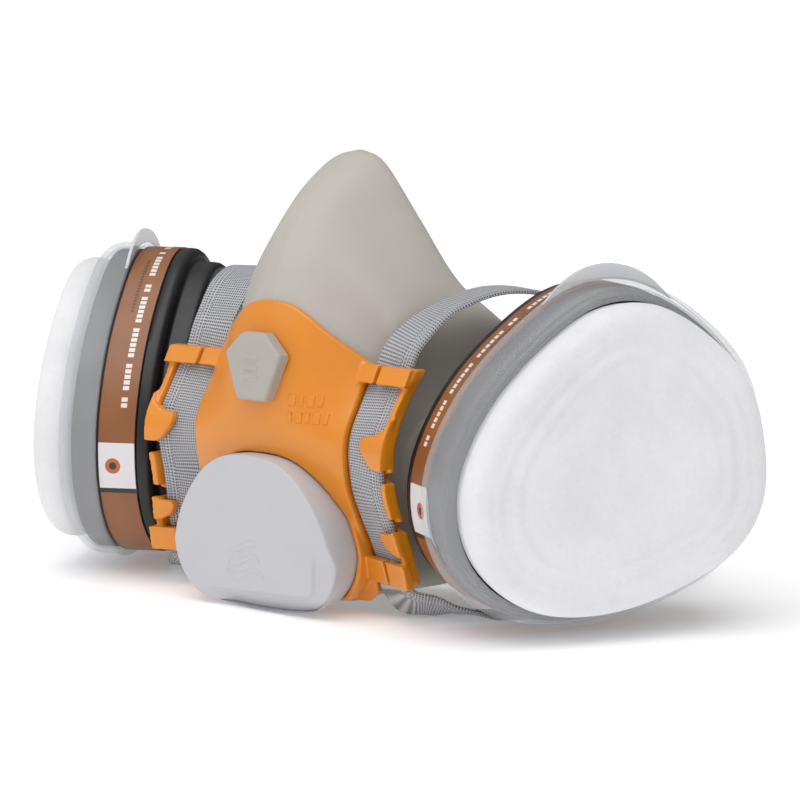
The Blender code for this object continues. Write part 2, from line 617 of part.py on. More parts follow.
def arc_block(inner, outer, low, high, middle, span, steps=6):
    """A block that follows a circle round z."""
    angles = [middle - span / 2 + span * i / steps for i in range(steps + 1)]
    outline = [Vector((outer * math.cos(a), outer * math.sin(a))) for a in angles]
    outline += [Vector((inner * math.cos(a), inner * math.sin(a))) for a in reversed(angles)]
    return prism(outline, low, high)


def make_port(side, name, joints):
    place = port_matrix(side)
    profile = [(SPIGOT_RADIUS, SPIGOT_FRONT), (SPIGOT_RADIUS, 0), (FLANGE_RADIUS, 0),
               (FLANGE_RADIUS, FLANGE_BACK), (SPIGOT_RADIUS, FLANGE_BACK), (SPIGOT_RADIUS, SPIGOT_BACK),
               (SPIGOT_BORE, SPIGOT_BACK), (SPIGOT_BORE, SPIGOT_FRONT)]
    port = turned("inhalation_port_" + name, profile, ORANGE, place)
    applied(port)
    for number in range(LUG_COUNT):
        angle = math.radians(90) + number * math.tau / LUG_COUNT
        lug = arc_block(SPIGOT_RADIUS - 0.8, LUG_RADIUS, LUG_BACK, LUG_FRONT, angle, LUG_SPAN)
        boolean(port, finish(lug, f"lug_{name}_{number}", ORANGE, side, place), 'UNION')
        bar = box((-BAR_HALF_WIDTH, 0, SPIGOT_BACK + 0.4),
                  (BAR_HALF_WIDTH, SPIGOT_BORE + 0.8, SPIGOT_BACK + 2))
        bmesh.ops.rotate(bar, verts=bar.verts, matrix=Matrix.Rotation(angle, 3, 'Z'))
        boolean(port, finish(bar, f"port_bar_{name}_{number}", ORANGE, side, place), 'UNION')
    boolean(port, drum(f"port_hub_{name}", 2.8, SPIGOT_BACK, SPIGOT_BACK + 2.2, side, place, 18), 'UNION')
    applied(port)
    rings = (("port_lock_ring_", FLANGE_RADIUS, LOCK_RING_SPAN), ("port_gasket_", GASKET_RADIUS, GASKET_SPAN))
    for node, radius, (low, high) in rings:
        profile = [(radius, high), (radius, low), (SPIGOT_RADIUS + GAP, low), (SPIGOT_RADIUS + GAP, high)]
        turned(node + name, profile, BLACK, place)
    profile = [(0, -16.3), (12.5, -16.3), (12.8, -16.6), (12.8, -16.9), (3, -17.3), (0, -17.4)]
    turned("inhalation_valve_disc_" + name, profile, SILICONE, place, joints["disc_" + name])


def outline_rings(levels):
    """Cartridge outlines at (inset, height) levels."""
    return [[Vector((p.x, p.y, height)) for p in cartridge_outline(distance)] for distance, height in levels]


def make_cartridge(side, name, joints):
    place = port_matrix(side)
    turning, sliding = joints["cartridge_" + name], joints["retainer_" + name]

    levels = [(8.0, BACK_FACE), (6.4, BACK_FACE + 1.2), (6.2, BACK_STEP - 0.6), (3.4, BACK_STEP),
              (CAN_INSET, BACK_STEP + 1.2), (CAN_INSET, BODY_BACK - GAP), (5, BODY_BACK - GAP),
              (5, BACK_STEP + 1.8), (8.5, BACK_STEP + 1.8), (8.5, BACK_FACE + 2.4)]
    back = finish(loft(outline_rings(levels)), "cartridge_back_" + name, BLACK, side, place, turning)
    boolean(back, drum(f"hub_{name}", HUB_RADIUS, HUB_FRONT, BACK_FACE + 1, side, place), 'UNION')
    boolean(back, drum(f"hub_bore_{name}", HUB_BORE, 0, 30, side, place), 'DIFFERENCE')
    boolean(back, drum(f"hub_recess_{name}", HUB_RECESS, LUG_BACK - GAP, 30, side, place), 'DIFFERENCE')
    for number in range(LUG_COUNT):
        angle = math.radians(90) - CARTRIDGE_TWIST + number * math.tau / LUG_COUNT
        slot = arc_block(HUB_BORE - 1, LUG_RADIUS + GAP, 0, LUG_BACK + GAP, angle, LUG_SPAN + SLOT_PLAY)
        boolean(back, finish(slot, f"slot_{name}_{number}", BLACK, side, place), 'DIFFERENCE')
    applied(back)

    def shell(node, look, outer, wall, low, high):
        inner = outer + wall
        rings = outline_rings([(outer, low), (outer, high), (inner, high), (inner, low)])
        return finish(loft(rings, loop=True), node + name, look, side, place, turning)

    def block(node, look, span):
        return finish(prism(cartridge_outline(FILLING_INSET), *span), node + name, look, side, place, turning)

    shell("cartridge_body_", BLACK, CAN_INSET, CAN_WALL, BODY_BACK, BODY_FRONT)
    shell("label_band_", LABEL, LABEL_INSET, LABEL_THICKNESS, BODY_BACK + 0.2, LABEL_FRONT)
    block("carbon_bed_", CARBON, CARBON_SPAN)
    block("dust_screen_", WHITE_FELT, SCREEN_SPAN)
    grid = block("retaining_grid_", BLACK, GRID_SPAN)
    for number, (x, y) in enumerate(grid_holes()):
        bm = bmesh.new()
        bmesh.ops.create_cone(bm, cap_ends=True, segments=6, radius1=GRID_HOLE_RADIUS, radius2=GRID_HOLE_RADIUS,
                              depth=10)
        bmesh.ops.translate(bm, vec=(x, y, GRID_SPAN[0] + 1), verts=bm.verts)
        boolean(grid, finish(bm, f"grid_hole_{name}_{number}", BLACK, side, place), 'DIFFERENCE')
    applied(grid)

    levels = [(7.5, 43.6), (6.0, 45.6), (6.6, 50.5), (8.6, 53.6), (12.5, 56.2), (18.0, 57.6)]
    crown = [Vector((p.x, p.y, DOME_FRONT)) for p in shrunk(cartridge_outline(18.0), 0.7)]
    finish(loft(outline_rings(levels) + [crown]), "prefilter_pad_" + name, WHITE_FELT, side, place, sliding)

    levels = [(0, SKIRT_BACK), (0, SKIRT_FRONT - 2), (1.2, SKIRT_FRONT + 0.6), (4.0, 47.6), (5.7, 47.6),
              (5.7, 46.2), (3.2, 45.0), (1.7, SKIRT_FRONT - 2.5), (1.7, SKIRT_BACK)]
    cap = finish(loft(outline_rings(levels), loop=True), "retainer_cap_" + name, CLEAR, side, place, sliding)
    corner = max(cartridge_outline(), key=lambda p: p.y)
    tab = box((corner.x - TAB_HALF_WIDTH, corner.y - TAB_INWARD, SKIRT_BACK),
              (corner.x + TAB_HALF_WIDTH, corner.y + TAB_OUTWARD, SKIRT_BACK + TAB_THICKNESS))
    boolean(cap, finish(tab, f"cap_tab_{name}", CLEAR, side, place), 'UNION')
    applied(cap)


def grid_holes():
    """Hole centres of the retaining grid, in rows inside the cartridge outline."""
    inside = cartridge_outline(12)
    holes = []
    for row in range(-3, 5):
        for column in range(-2, 6):
            point = Vector(((column + (row % 2) / 2) * GRID_PITCH[0], row * GRID_PITCH[1]))
            if is_inside(point, inside):
                holes.append(point)
    return holes


def is_inside(point, outline):
    """Whether a point lies within a closed counter-clockwise outline that has no hollows."""
    count = len(outline)
    return all((outline[(i + 1) % count] - outline[i]).cross(point - outline[i]) > 0 for i in range(count))


# ---------------------------------------------------------------- harness

def ribbon(stations, width, thickness, steps):
    """A flat band through stations of (place, direction across the band)."""
    spine = spline([Vector(place) for place, _ in stations], steps)
    lengths = [0.0]
    for (a, _), (b, _) in zip(stations, stations[1:]):
        lengths.append(lengths[-1] + (Vector(b) - Vector(a)).length)
    rings = []
    for i, point in enumerate(spine):
        ahead = spine[min(i + 1, steps - 1)] - spine[max(i - 1, 0)]
        at = lengths[-1] * i / (steps - 1)
        k = max(j for j in range(len(lengths) - 1) if lengths[j] <= at + 1e-9)
        share = (at - lengths[k]) / (lengths[k + 1] - lengths[k])
        side = Vector(stations[k][1]).lerp(Vector(stations[k + 1][1]), smooth(share))
        side = (side - ahead * (side.dot(ahead) / ahead.length_squared)).normalized()
        up = ahead.cross(side).normalized()
        half, rise = side * width / 2, up * thickness / 2
        rings.append([point + half + rise, point - half + rise, point - half - rise, point + half - rise])
    return loft(rings)


def make_strap(side, name):
    """One length of webbing from the cradle, through its guide, to the neck clasp."""
    guide = []
    for z in GUIDE_LEVELS:
        place = (STRAP_MIDDLE + sway(STRAP_MIDDLE, z), strap_front(z) + GAP / 2 + STRAP_THICKNESS / 2, z)
        guide.append((place, (1, -table_value(STRAP_SLOPE, z), 0)))
    band = ribbon(STRAP_TOP + guide + STRAP_BOTTOM, STRAP_WIDTH, STRAP_THICKNESS, STRAP_RINGS)
    return finish(band, "strap_" + name, WEBBING, side, Matrix())


def rounded_rectangle(width, height, radius, corner_steps=4):
    """A counter-clockwise rounded rectangle about the middle."""
    points = []
    for quarter in range(4):
        across = (width / 2 - radius) * (1 if quarter in (0, 3) else -1)
        along = (height / 2 - radius) * (1 if quarter in (0, 1) else -1)
        centre = Vector((across, along))
        for step in range(corner_steps + 1):
            angle = math.pi / 2 * (quarter + step / corner_steps)
            points.append(centre + radius * Vector((math.cos(angle), math.sin(angle))))
    return points


def make_cradle():
    """The frame with a cross bar that sits on the crown of the head, lying flat on the table."""
    outline = rounded_rectangle(*CRADLE_SIZE, CRADLE_RADIUS)
    rings = []
    for distance, height in ((1.0, TABLE), (0, -2.2), (0, -0.6), (1.0, 0.1), (9.0, 0.1), (10, -0.6), (10, -2.2),
                             (9.0, TABLE)):
        rings.append([Vector((p.x, p.y + CRADLE_Y, height)) for p in inset(outline, distance)])
    cradle = finish(loft(rings, loop=True), "head_cradle", DARK_GREY)
    half_length, half_width = CRADLE_BAR_HALF
    bar = box((-half_length, CRADLE_Y - half_width, -2.6), (half_length, CRADLE_Y + half_width, -0.2))
    boolean(cradle, finish(bar, "cradle_bar", DARK_GREY), 'UNION')
    return applied(cradle)


def make_clasp():
    """A loop and a hook that close the neck strap."""
    def ring(middle, width, bar):
        outlines = []
        for cut, radius in ((0, 2.5), (2 * bar, 1.0)):
            outline = rounded_rectangle(width - cut, CLASP_HEIGHT - cut, radius)
            outlines.append([point + Vector((middle, CLASP_Y)) for point in outline])
        return prism(outlines[0], *CLASP_SPAN, outlines[1])

    finish(ring(7.2, 15, 3.0), "neck_clasp_loop", DARK_GREY)
    hook = finish(ring(-9.0, 12.4, 2.6), "neck_clasp_hook", DARK_GREY)
    # the hook's tongue: a neck on the ring, an arm over the loop's bar, and a lip behind it
    low, high = CLASP_Y - TONGUE_HALF_WIDTH, CLASP_Y + TONGUE_HALF_WIDTH
    boolean(hook, finish(box((-6, low, 0), (-3.2, high, 2.4)), "clasp_neck", DARK_GREY), 'UNION')
    boolean(hook, finish(box((-5, low, 0.7), (6.5, high, 2.4)), "clasp_arm", DARK_GREY), 'UNION')
    boolean(hook, finish(box((4.7, low, -2.4), (6.5, high, 2.0)), "clasp_lip", DARK_GREY), 'UNION')
    applied(hook)


def make_slider(side, name, joints):
    """The strap's adjuster, a short sleeve that slides along the webbing."""
    x, y = SLIDER_PLACE
    half_width, half_length = SLIDER_HALF
    (low, high), (slot_low, slot_high) = SLIDER_SPAN, SLIDER_SLOT_SPAN
    body = box((x - half_width, y - half_length, low), (x + half_width, y + half_length, high))
    slider = finish(body, "strap_slider_" + name, DARK_GREY, side, Matrix(), joints["slider_" + name])
    slot = box((x - SLIDER_SLOT_HALF, y - 10, slot_low), (x + SLIDER_SLOT_HALF, y + 10, slot_high))
    boolean(slider, finish(slot, f"slider_slot_{name}", DARK_GREY, side, Matrix()), 'DIFFERENCE')
    bevel = slider.modifiers.new("edges", 'BEVEL')
    bevel.width = 0.6 * MM
    bevel.segments = 2
    applied(slider)


# ---------------------------------------------------------------- the whole respirator

def clear_scene():
    for obj in list(bpy.data.objects):
        bpy.data.objects.remove(obj, do_unlink=True)


def new_collection(name):
    collection = bpy.data.collections.new(name)
    bpy.context.scene.collection.children.link(collection)
    return collection


def make_joint_frames():
    """One empty on each joint's axis."""
    joints = {"valve_disc": make_empty("valve_disc_joint", in_metres(cover_matrix())),
              "valve_cover": make_empty("valve_cover_joint", in_metres(cover_matrix()))}
    for side, name in SIDES:
        place = in_metres(port_matrix(side))
        joints["disc_" + name] = make_empty("disc_joint_" + name, place)
        joints["cartridge_" + name] = make_empty("cartridge_joint_" + name, place)
        joints["slider_" + name] = make_empty("slider_joint_" + name, Matrix())
    bpy.context.view_layer.update()
    for side, name in SIDES:
        joints["retainer_" + name] = make_empty("retainer_joint_" + name, in_metres(port_matrix(side)),
                                                joints["cartridge_" + name])
    bpy.context.view_layer.update()
    return joints


def make_respirator():
    joints = make_joint_frames()
    make_front_frame()
    make_size_plug()
    make_exhalation_valve(joints)
    make_facepiece()
    for side, name in SIDES:
        make_port(side, name, joints)
        make_cartridge(side, name, joints)
        make_strap(side, name)
        make_slider(side, name, joints)
    make_cradle()
    make_clasp()
    root = make_empty("respirator_frame", Matrix())
    for obj in list(bpy.data.objects):
        if obj.parent is None and obj is not root and obj.name not in CUTTERS.objects:
            obj.parent = root
    root.location = (0, -BOX_CENTRE_Y * MM, -TABLE * MM)


clear_scene()
PARTS = new_collection("respirator")
CUTTERS = new_collection("cutters")
SIDES = ((1, "left"), (-1, "right"))
make_respirator()
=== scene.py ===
"""The visible surfaces and finishes of a half-mask respirator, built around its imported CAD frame.

Shapes are worked out in millimetres in the mask's own frame (x towards the wearer's left,
-y forwards, z up) or in a port's frame (x back, y up, z outwards), and placed with the joints
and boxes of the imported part.
"""
import json
import math

import bmesh
import bpy
from mathutils import Matrix, Vector, noise


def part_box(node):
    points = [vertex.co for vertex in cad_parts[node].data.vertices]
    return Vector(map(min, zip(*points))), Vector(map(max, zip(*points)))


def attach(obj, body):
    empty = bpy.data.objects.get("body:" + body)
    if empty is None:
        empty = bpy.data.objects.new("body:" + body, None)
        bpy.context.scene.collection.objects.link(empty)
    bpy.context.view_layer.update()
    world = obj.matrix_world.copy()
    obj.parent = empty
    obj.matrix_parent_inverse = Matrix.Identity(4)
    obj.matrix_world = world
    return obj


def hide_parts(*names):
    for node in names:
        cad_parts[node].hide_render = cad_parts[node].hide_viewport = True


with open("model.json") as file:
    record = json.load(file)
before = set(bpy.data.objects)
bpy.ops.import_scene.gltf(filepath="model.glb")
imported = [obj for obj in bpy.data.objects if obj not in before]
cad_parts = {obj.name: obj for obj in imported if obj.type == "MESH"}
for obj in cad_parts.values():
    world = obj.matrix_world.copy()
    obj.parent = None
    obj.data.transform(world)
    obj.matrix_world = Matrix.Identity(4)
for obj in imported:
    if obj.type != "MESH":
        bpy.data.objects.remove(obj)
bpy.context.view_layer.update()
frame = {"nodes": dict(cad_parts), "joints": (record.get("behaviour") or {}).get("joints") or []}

MM = 0.001
JOINTS = {joint["name"]: joint for joint in frame["joints"]}

# ---------------------------------------------------------------- design sizes, millimetres
PORT_PLACE = (55.113, 3.54, 42.719)        # the left port's seat in the mask's frame
CARTRIDGE_TILT = math.radians(31)
OUTLINE_CENTRE = (26.6, 8.2)
OUTLINE_HALF = [(-60, 0), (-56.5, 16), (-46, 30.5), (-27, 42.5), (-4, 49), (20, 50), (38, 41),
                (49.5, 23), (55, 0)]
COVER_CENTRE = (0.0, -27.0, 24.5)
COVER_TIP = math.radians(3)
COVER_HALF = [(0, 24.5), (12, 23), (21.5, 17), (28.5, 8), (32.7, -1), (34, -9), (30.5, -18.5),
              (22, -25), (0, -27.1)]
OUTLINE_STEPS, COVER_STEPS, ROUND_STEPS, CURVE_STEPS = 220, 260, 96, 24
MIDDLE_PROFILE = [(-6, -17), (5, -20), (15, -23), (27, -27), (37, -31), (47, -34), (57, -35.2), (67, -35.2),
                  (77, -34.6), (88, -32.5), (100, -28.5)]
STRAP_PROFILE = [(-6, -17), (5, -19), (14, -21.4), (30, -26.5), (42, -30), (52, -31), (58, -29.3),
                 (66, -24.3), (75, -18.6), (83, -14.5), (100, -8)]
STRAP_SLOPE = [(5, 0.34), (15, 0.32), (30, 0.24), (50, 0.17), (77, 0.1)]
GUIDE_SWAY = [(8, 3.6), (20, 2.9), (35, 0.4), (50, -0.4), (80, -0.5)]
PANEL_HALF_WIDTH, PANEL_STEP, FRAME_WALL = 31.5, 2.0, 2.4
STRAP_WIDTH, STRAP_THICKNESS, STRAP_MIDDLE = 16.0, 1.4, 40.1
WEBBING_ROUND = 17.2                       # from one selvedge over the face to the other
GAP = 0.3


# ---------------------------------------------------------------- curves and outlines

def spline(points, steps, closed=False):
    """Points spaced evenly along a smooth curve through the given ones."""
    knots = [Vector(p) for p in points]
    if closed:
        knots = knots[-1:] + knots + knots[:2]
    else:
        knots = [2 * knots[0] - knots[1]] + knots + [2 * knots[-1] - knots[-2]]
    dense = []
    for before, start, end, after in zip(knots, knots[1:], knots[2:], knots[3:]):
        for t in [j / CURVE_STEPS for j in range(CURVE_STEPS)]:
            bend = 2 * before - 5 * start + 4 * end - after
            twist = 3 * start - before - 3 * end + after
            dense.append(0.5 * (2 * start + (end - before) * t + bend * t * t + twist * t ** 3))
    dense.append(knots[-2])
    lengths = [0.0]
    for a, b in zip(dense, dense[1:]):
        lengths.append(lengths[-1] + (b - a).length)
    result, k = [], 0
    for i in range(steps):
        distance = lengths[-1] * i / (steps if closed else steps - 1)
        while k < len(dense) - 2 and lengths[k + 1] < distance:
            k += 1
        share = (distance - lengths[k]) / max(lengths[k + 1] - lengths[k], 1e-9)
        result.append(dense[k].lerp(dense[k + 1], share))
    return result


def table_value(table, at):
    """Smooth value of a (position, value) table."""
    if at <= table[0][0]:
        return table[0][1]
    if at >= table[-1][0]:
        return table[-1][1]
    i = max(k for k in range(len(table) - 1) if table[k][0] <= at)
    (x0, y0), (x1, y1) = table[i], table[i + 1]
    slope0 = (y1 - table[i - 1][1]) / (x1 - table[i - 1][0]) if i > 0 else (y1 - y0) / (x1 - x0)
    slope1 = (table[i + 2][1] - y0) / (table[i + 2][0] - x0) if i + 2 < len(table) else (y1 - y0) / (x1 - x0)
    span = x1 - x0
    t = (at - x0) / span
    return ((2 * t ** 3 - 3 * t * t + 1) * y0 + (t ** 3 - 2 * t * t + t) * span * slope0
            + (3 * t * t - 2 * t ** 3) * y1 + (t ** 3 - t * t) * span * slope1)


def smooth(share):
    share = min(1.0, max(0.0, share))
    return share * share * (3 - 2 * share)


def inset(outline, distance):
    """A closed counter-clockwise outline moved inwards along its normals."""
    count = len(outline)
    moved = []
    for i, point in enumerate(outline):
        along = outline[(i + 1) % count] - outline[i - 1]
        moved.append(point + Vector((-along.y, along.x)).normalized() * distance)
    return moved


def shrunk(outline, share):
    middle = sum(outline, Vector((0, 0))) / len(outline)
    return [middle.lerp(point, share) for point in outline]


def lifted(outline, height):
    """A flat outline as points at one height, or at height(x, y)."""
    return [Vector((p.x, p.y, height(p.x, p.y) if callable(height) else height)) for p in outline]


def cartridge_outline(distance=0.0):
    """A cartridge's outline round its port, from its front tip along the lower side, moved inwards."""
    lower = [(p, -w) for p, w in OUTLINE_HALF]
    outline = inset(spline(lower + OUTLINE_HALF[-2:0:-1], OUTLINE_STEPS, closed=True), distance)
    turn = Matrix.Rotation(CARTRIDGE_TILT, 2)
    return [turn @ point + Vector(OUTLINE_CENTRE) for point in outline]


def cover_outline(distance):
    other = [(-x, y) for x, y in COVER_HALF[-2:0:-1]]
    return inset(spline(COVER_HALF + other, COVER_STEPS, closed=True)[::-1], distance)


def rounded_rectangle(width, height, radius, corner_steps=10):
    """A counter-clockwise rounded rectangle about the middle."""
    points = []
    for quarter in range(4):
        across = (width / 2 - radius) * (1 if quarter in (0, 3) else -1)
        along = (height / 2 - radius) * (1 if quarter in (0, 1) else -1)
        for step in range(corner_steps + 1):
            angle = math.pi / 2 * (quarter + step / corner_steps)
            points.append(Vector((across + radius * math.cos(angle), along + radius * math.sin(angle))))
    return points


def rounded_profile(points, radius, steps):
    """A closed profile of (distance, depth) corners, each corner rounded."""
    count = len(points)
    result = []
    for i in range(count):
        corner = Vector(points[i])
        before, after = Vector(points[i - 1]) - corner, Vector(points[(i + 1) % count]) - corner
        reach = min(radius, before.length * 0.45, after.length * 0.45)
        start, end = corner + before.normalized() * reach, corner + after.normalized() * reach
        for step in range(steps + 1):
            t = step / steps
            result.append(start * (1 - t) ** 2 + corner * 2 * t * (1 - t) + end * t * t)
    return result


# ---------------------------------------------------------------- places

def mask_place():
    """Millimetres in the mask's frame to metres in the row frame, from where the left port is."""
    origin = Vector(JOINTS["cartridge_twist_left"]["pos_m"]) - Vector(PORT_PLACE) * MM
    return Matrix.Translation(origin) @ Matrix.Scale(MM, 4)


def port_place(side):
    """The same for a port's frame. The right-hand one is a mirror image."""
    joint = JOINTS["cartridge_twist_left" if side > 0 else "cartridge_twist_right"]
    out = Vector(joint["axis"]) * side
    back = Vector((-out.y * side, out.x * side, 0))
    matrix = Matrix((back, Vector((0, 0, 1)), out)).transposed().to_4x4()
    matrix.translation = Vector(joint["pos_m"])
    return matrix @ Matrix.Scale(MM, 4)


def tipped(centre, tip):
    """A frame within the mask's: x across, y up a face that leans by that angle, z out of the mask."""
    matrix = Matrix.Rotation(math.pi / 2 + tip, 4, 'X')
    matrix.translation = centre
    return matrix


def valve_place():
    """The frame of the exhalation valve."""
    return mask_place() @ tipped(COVER_CENTRE, COVER_TIP)


# ---------------------------------------------------------------- meshes

def loft(rings, closed=True, loop=False):
    """A skin over rings of equally many points, with a UV in millimetres round and along it."""
    bm = bmesh.new()
    layer = bm.loops.layers.uv.new("UVMap")
    rows = [[bm.verts.new(point) for point in ring] for ring in rings]
    count = len(rings[0])
    rounds = []
    for ring in rings:
        lengths = [0.0]
        for i in range(count):
            lengths.append(lengths[-1] + (ring[(i + 1) % count] - ring[i]).length)
        rounds.append(lengths)
    if loop:
        rows.append(rows[0])
        rounds.append(rounds[0])
    start = 0.0
    for low, high, below, above in zip(rows, rows[1:], rounds, rounds[1:]):
        end = start + (high[0].co - low[0].co).length
        for i in range(count):
            j = (i + 1) % count
            face = bm.faces.new((low[i], low[j], high[j], high[i]))
            face.smooth = True
            places = ((below[i], start), (below[i + 1], start), (above[i + 1], end), (above[i], end))
            for corner, uv in zip(face.loops, places):
                corner[layer].uv = uv
        start = end
    if closed and not loop:
        bm.faces.new(rows[0][::-1])
        bm.faces.new(rows[-1])
    return bm


def shade(mesh, sharp=50):
    """Smooth shading, but for edges where faces meet at more than that many degrees."""
    mesh.shade_smooth()
    mesh.set_sharp_from_angle(angle=math.radians(sharp))


def shape(name, bm, place, fix_normals=True):
    """A bmesh in millimetres as an object in the row frame, in metres."""
    bm.transform(place)
    if fix_normals:
        bmesh.ops.recalc_face_normals(bm, faces=bm.faces)
    mesh = bpy.data.meshes.new(name)
    bm.to_mesh(mesh)
    bm.free()
    obj = bpy.data.objects.new(name, mesh)
    bpy.context.scene.collection.objects.link(obj)
    shade(mesh)
    return obj


def applied(obj):
    """Makes an object's modifiers part of its mesh."""
    graph = bpy.context.evaluated_depsgraph_get()
    mesh = bpy.data.meshes.new_from_object(obj.evaluated_get(graph), depsgraph=graph)
    obj.modifiers.clear()
    obj.data = mesh


def combine(obj, bm, place, operation):
    """Joins an object with a bmesh in millimetres, or cuts it; the bmesh is used up."""
    other = shape("tool", bm, place)
    modifier = obj.modifiers.new("combine", 'BOOLEAN')
    modifier.operation = operation
    modifier.object = other
    modifier.solver = 'MANIFOLD'
    applied(obj)
    bpy.data.objects.remove(other, do_unlink=True)


def join(obj, bm, place):
    combine(obj, bm, place, 'UNION')


def cut(obj, bm, place):
    combine(obj, bm, place, 'DIFFERENCE')


def moulded(obj, voxel, rounds):
    """Melts the joints and rounds the edges, as in one moulding."""
    remesh = obj.modifiers.new("skin", 'REMESH')
    remesh.mode = 'VOXEL'
    remesh.voxel_size = voxel * MM
    remesh.use_smooth_shade = True
    soften = obj.modifiers.new("soften", 'SMOOTH')
    soften.factor = 0.5
    soften.iterations = rounds
    applied(obj)
    obj.data.shade_smooth()


def bevelled(obj, width, segments, angle):
    """Rounds the edges that are sharper than the angle."""
    modifier = obj.modifiers.new("edges", 'BEVEL')
    modifier.width = width * MM
    modifier.segments = segments
    modifier.limit_method = 'ANGLE'
    modifier.angle_limit = math.radians(angle)
    applied(obj)


def box(low, high):
    bm = bmesh.new()
    bmesh.ops.create_cube(bm, size=1.0)
    bmesh.ops.scale(bm, vec=[h - l for l, h in zip(low, high)], verts=bm.verts)
    bmesh.ops.translate(bm, vec=[(h + l) / 2 for l, h in zip(low, high)], verts=bm.verts)
    return bm


def turned(profile):
    """A profile of (radius, height) corners turned round z."""
    rings = []
    for i in range(ROUND_STEPS):
        angle = math.tau * i / ROUND_STEPS
        rings.append([Vector((r * math.cos(angle), r * math.sin(angle), h)) for r, h in profile])
    return loft(rings, loop=True)


def drum(radius, low, high, steps=ROUND_STEPS):
    bm = bmesh.new()
    bmesh.ops.create_cone(bm, cap_ends=True, segments=steps, radius1=radius, radius2=radius, depth=high - low)
    bmesh.ops.translate(bm, vec=(0, 0, (low + high) / 2), verts=bm.verts)
    return bm


def dress(obj, look, body, slot, *nodes):
    """Gives a piece its finish and its body, and hides the CAD nodes it stands for. The slot is not used."""
    obj.data.materials.clear()
    obj.data.materials.append(look.material)
    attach(obj, body)
    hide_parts(*nodes)


# ---------------------------------------------------------------- finishes

def linear(red, green, blue):
    """A screen colour of 0 to 255 as a linear one."""
    shares = [c / 255 for c in (red, green, blue)]
    return tuple(c / 12.92 if c <= 0.04045 else ((c + 0.055) / 1.055) ** 2.4 for c in shares) + (1.0,)


class Look:
    """A node material with a Principled shader, and short ways to add to it."""

    def __init__(self, name, roughness=0.5, specular=0.5, **sockets):
        self.material = bpy.data.materials.new(name)
        self.material.use_nodes = True
        self.tree = self.material.node_tree
        self.shader = self.tree.nodes["Principled BSDF"]
        self.shader.inputs["Roughness"].default_value = roughness
        self.shader.inputs["Specular IOR Level"].default_value = specular
        for socket, value in sockets.items():
            self.shader.inputs[socket.replace("_", " ")].default_value = value
        self.relief = None

    def node(self, kind, **settings):
        made = self.tree.nodes.new(kind)
        for key, value in settings.items():
            setattr(made, key, value)
        return made

    def plug(self, value, socket):
        if isinstance(value, bpy.types.NodeSocket):
            self.tree.links.new(value, socket)
        else:
            socket.default_value = value

    def math(self, operation, a, b=0.0, c=0.0, clamp=False):
        made = self.node("ShaderNodeMath", operation=operation, use_clamp=clamp)
        self.plug(a, made.inputs[0])
        self.plug(b, made.inputs[1])
        self.plug(c, made.inputs[2])
        return made.outputs[0]

    def times(self, a, b):
        return self.math('MULTIPLY', a, b)

    def scaled(self, value, factor, offset):
        return self.math('MULTIPLY_ADD', value, factor, offset)

    def above(self, value, level):
        return self.math('GREATER_THAN', value, level)

    def below(self, value, level):
        return self.math('LESS_THAN', value, level)

    def between(self, value, low, high):
        return self.times(self.above(value, low), self.below(value, high))

    def near(self, value, middle, reach):
        return self.below(self.math('ABSOLUTE', self.math('SUBTRACT', value, middle)), reach)

    def wave(self, value, length):
        """A sine wave of that length."""
        return self.math('SINE', self.times(value, math.tau / length))

    def uv(self):
        """Position round and along a piece, in millimetres."""
        split = self.node("ShaderNodeSeparateXYZ")
        self.plug(self.node("ShaderNodeTexCoord").outputs["UV"], split.inputs[0])
        return split.outputs[0], split.outputs[1]

    def noise(self, size, detail=3.0, roughness=0.55):
        """Noise whose grain is that many millimetres."""
        made = self.node("ShaderNodeTexNoise")
        self.plug(self.node("ShaderNodeTexCoord").outputs["Object"], made.inputs["Vector"])
        made.inputs["Scale"].default_value = 1000.0 / size
        made.inputs["Detail"].default_value = detail
        made.inputs["Roughness"].default_value = roughness
        return made.outputs["Fac"]

    def ramp(self, value, *stops):
        made = self.node("ShaderNodeValToRGB")
        self.plug(value, made.inputs[0])
        ramp = made.color_ramp
        while len(ramp.elements) < len(stops):
            ramp.elements.new(0.5)
        for element, (position, colour) in zip(ramp.elements, stops):
            element.position = position
            element.color = colour if len(colour) == 4 else (*colour, 1)
        return made.outputs[0]

    def blend(self, share, a, b, kind='MIX'):
        made = self.node("ShaderNodeMix", data_type='RGBA', blend_type=kind)
        self.plug(share, made.inputs[0])
        self.plug(a, made.inputs[6])
        self.plug(b, made.inputs[7])
        return made.outputs[2]

    def colour(self, value):
        self.plug(value, self.shader.inputs["Base Color"])

    def rough(self, value):
        self.plug(value, self.shader.inputs["Roughness"])

    def bump(self, height, distance):
        """Adds a relief of that many millimetres."""
        made = self.node("ShaderNodeBump")
        self.plug(height, made.inputs["Height"])
        made.inputs["Distance"].default_value = distance * MM
        made.inputs["Strength"].default_value = 1.0
        if self.relief is not None:
            self.plug(self.relief, made.inputs["Normal"])
        self.relief = made.outputs[0]
        self.plug(self.relief, self.shader.inputs["Normal"])


def spread(colour, amount):
    """Two colours a little darker and lighter than the given one."""
    pair = [tuple(min(1, c * share) for c in colour[:3]) for share in (1 - amount, 1 + amount)]
    return pair[0] + (1,), pair[1] + (1,)


def plain_look(name, colour, roughness, grain, relief, vary, specular, **sockets):
    """A moulded surface: slight clouding of the colour, and a fine grain."""
    look = Look(name, roughness, specular, **sockets)
    low, high = spread(colour, vary)
    look.colour(look.ramp(look.noise(22, 4.0), (0.3, low), (0.7, high)))
    look.rough(look.scaled(look.noise(6.0), 0.16, roughness - 0.08))
    look.bump(look.noise(grain, 2.0), relief)
    return look


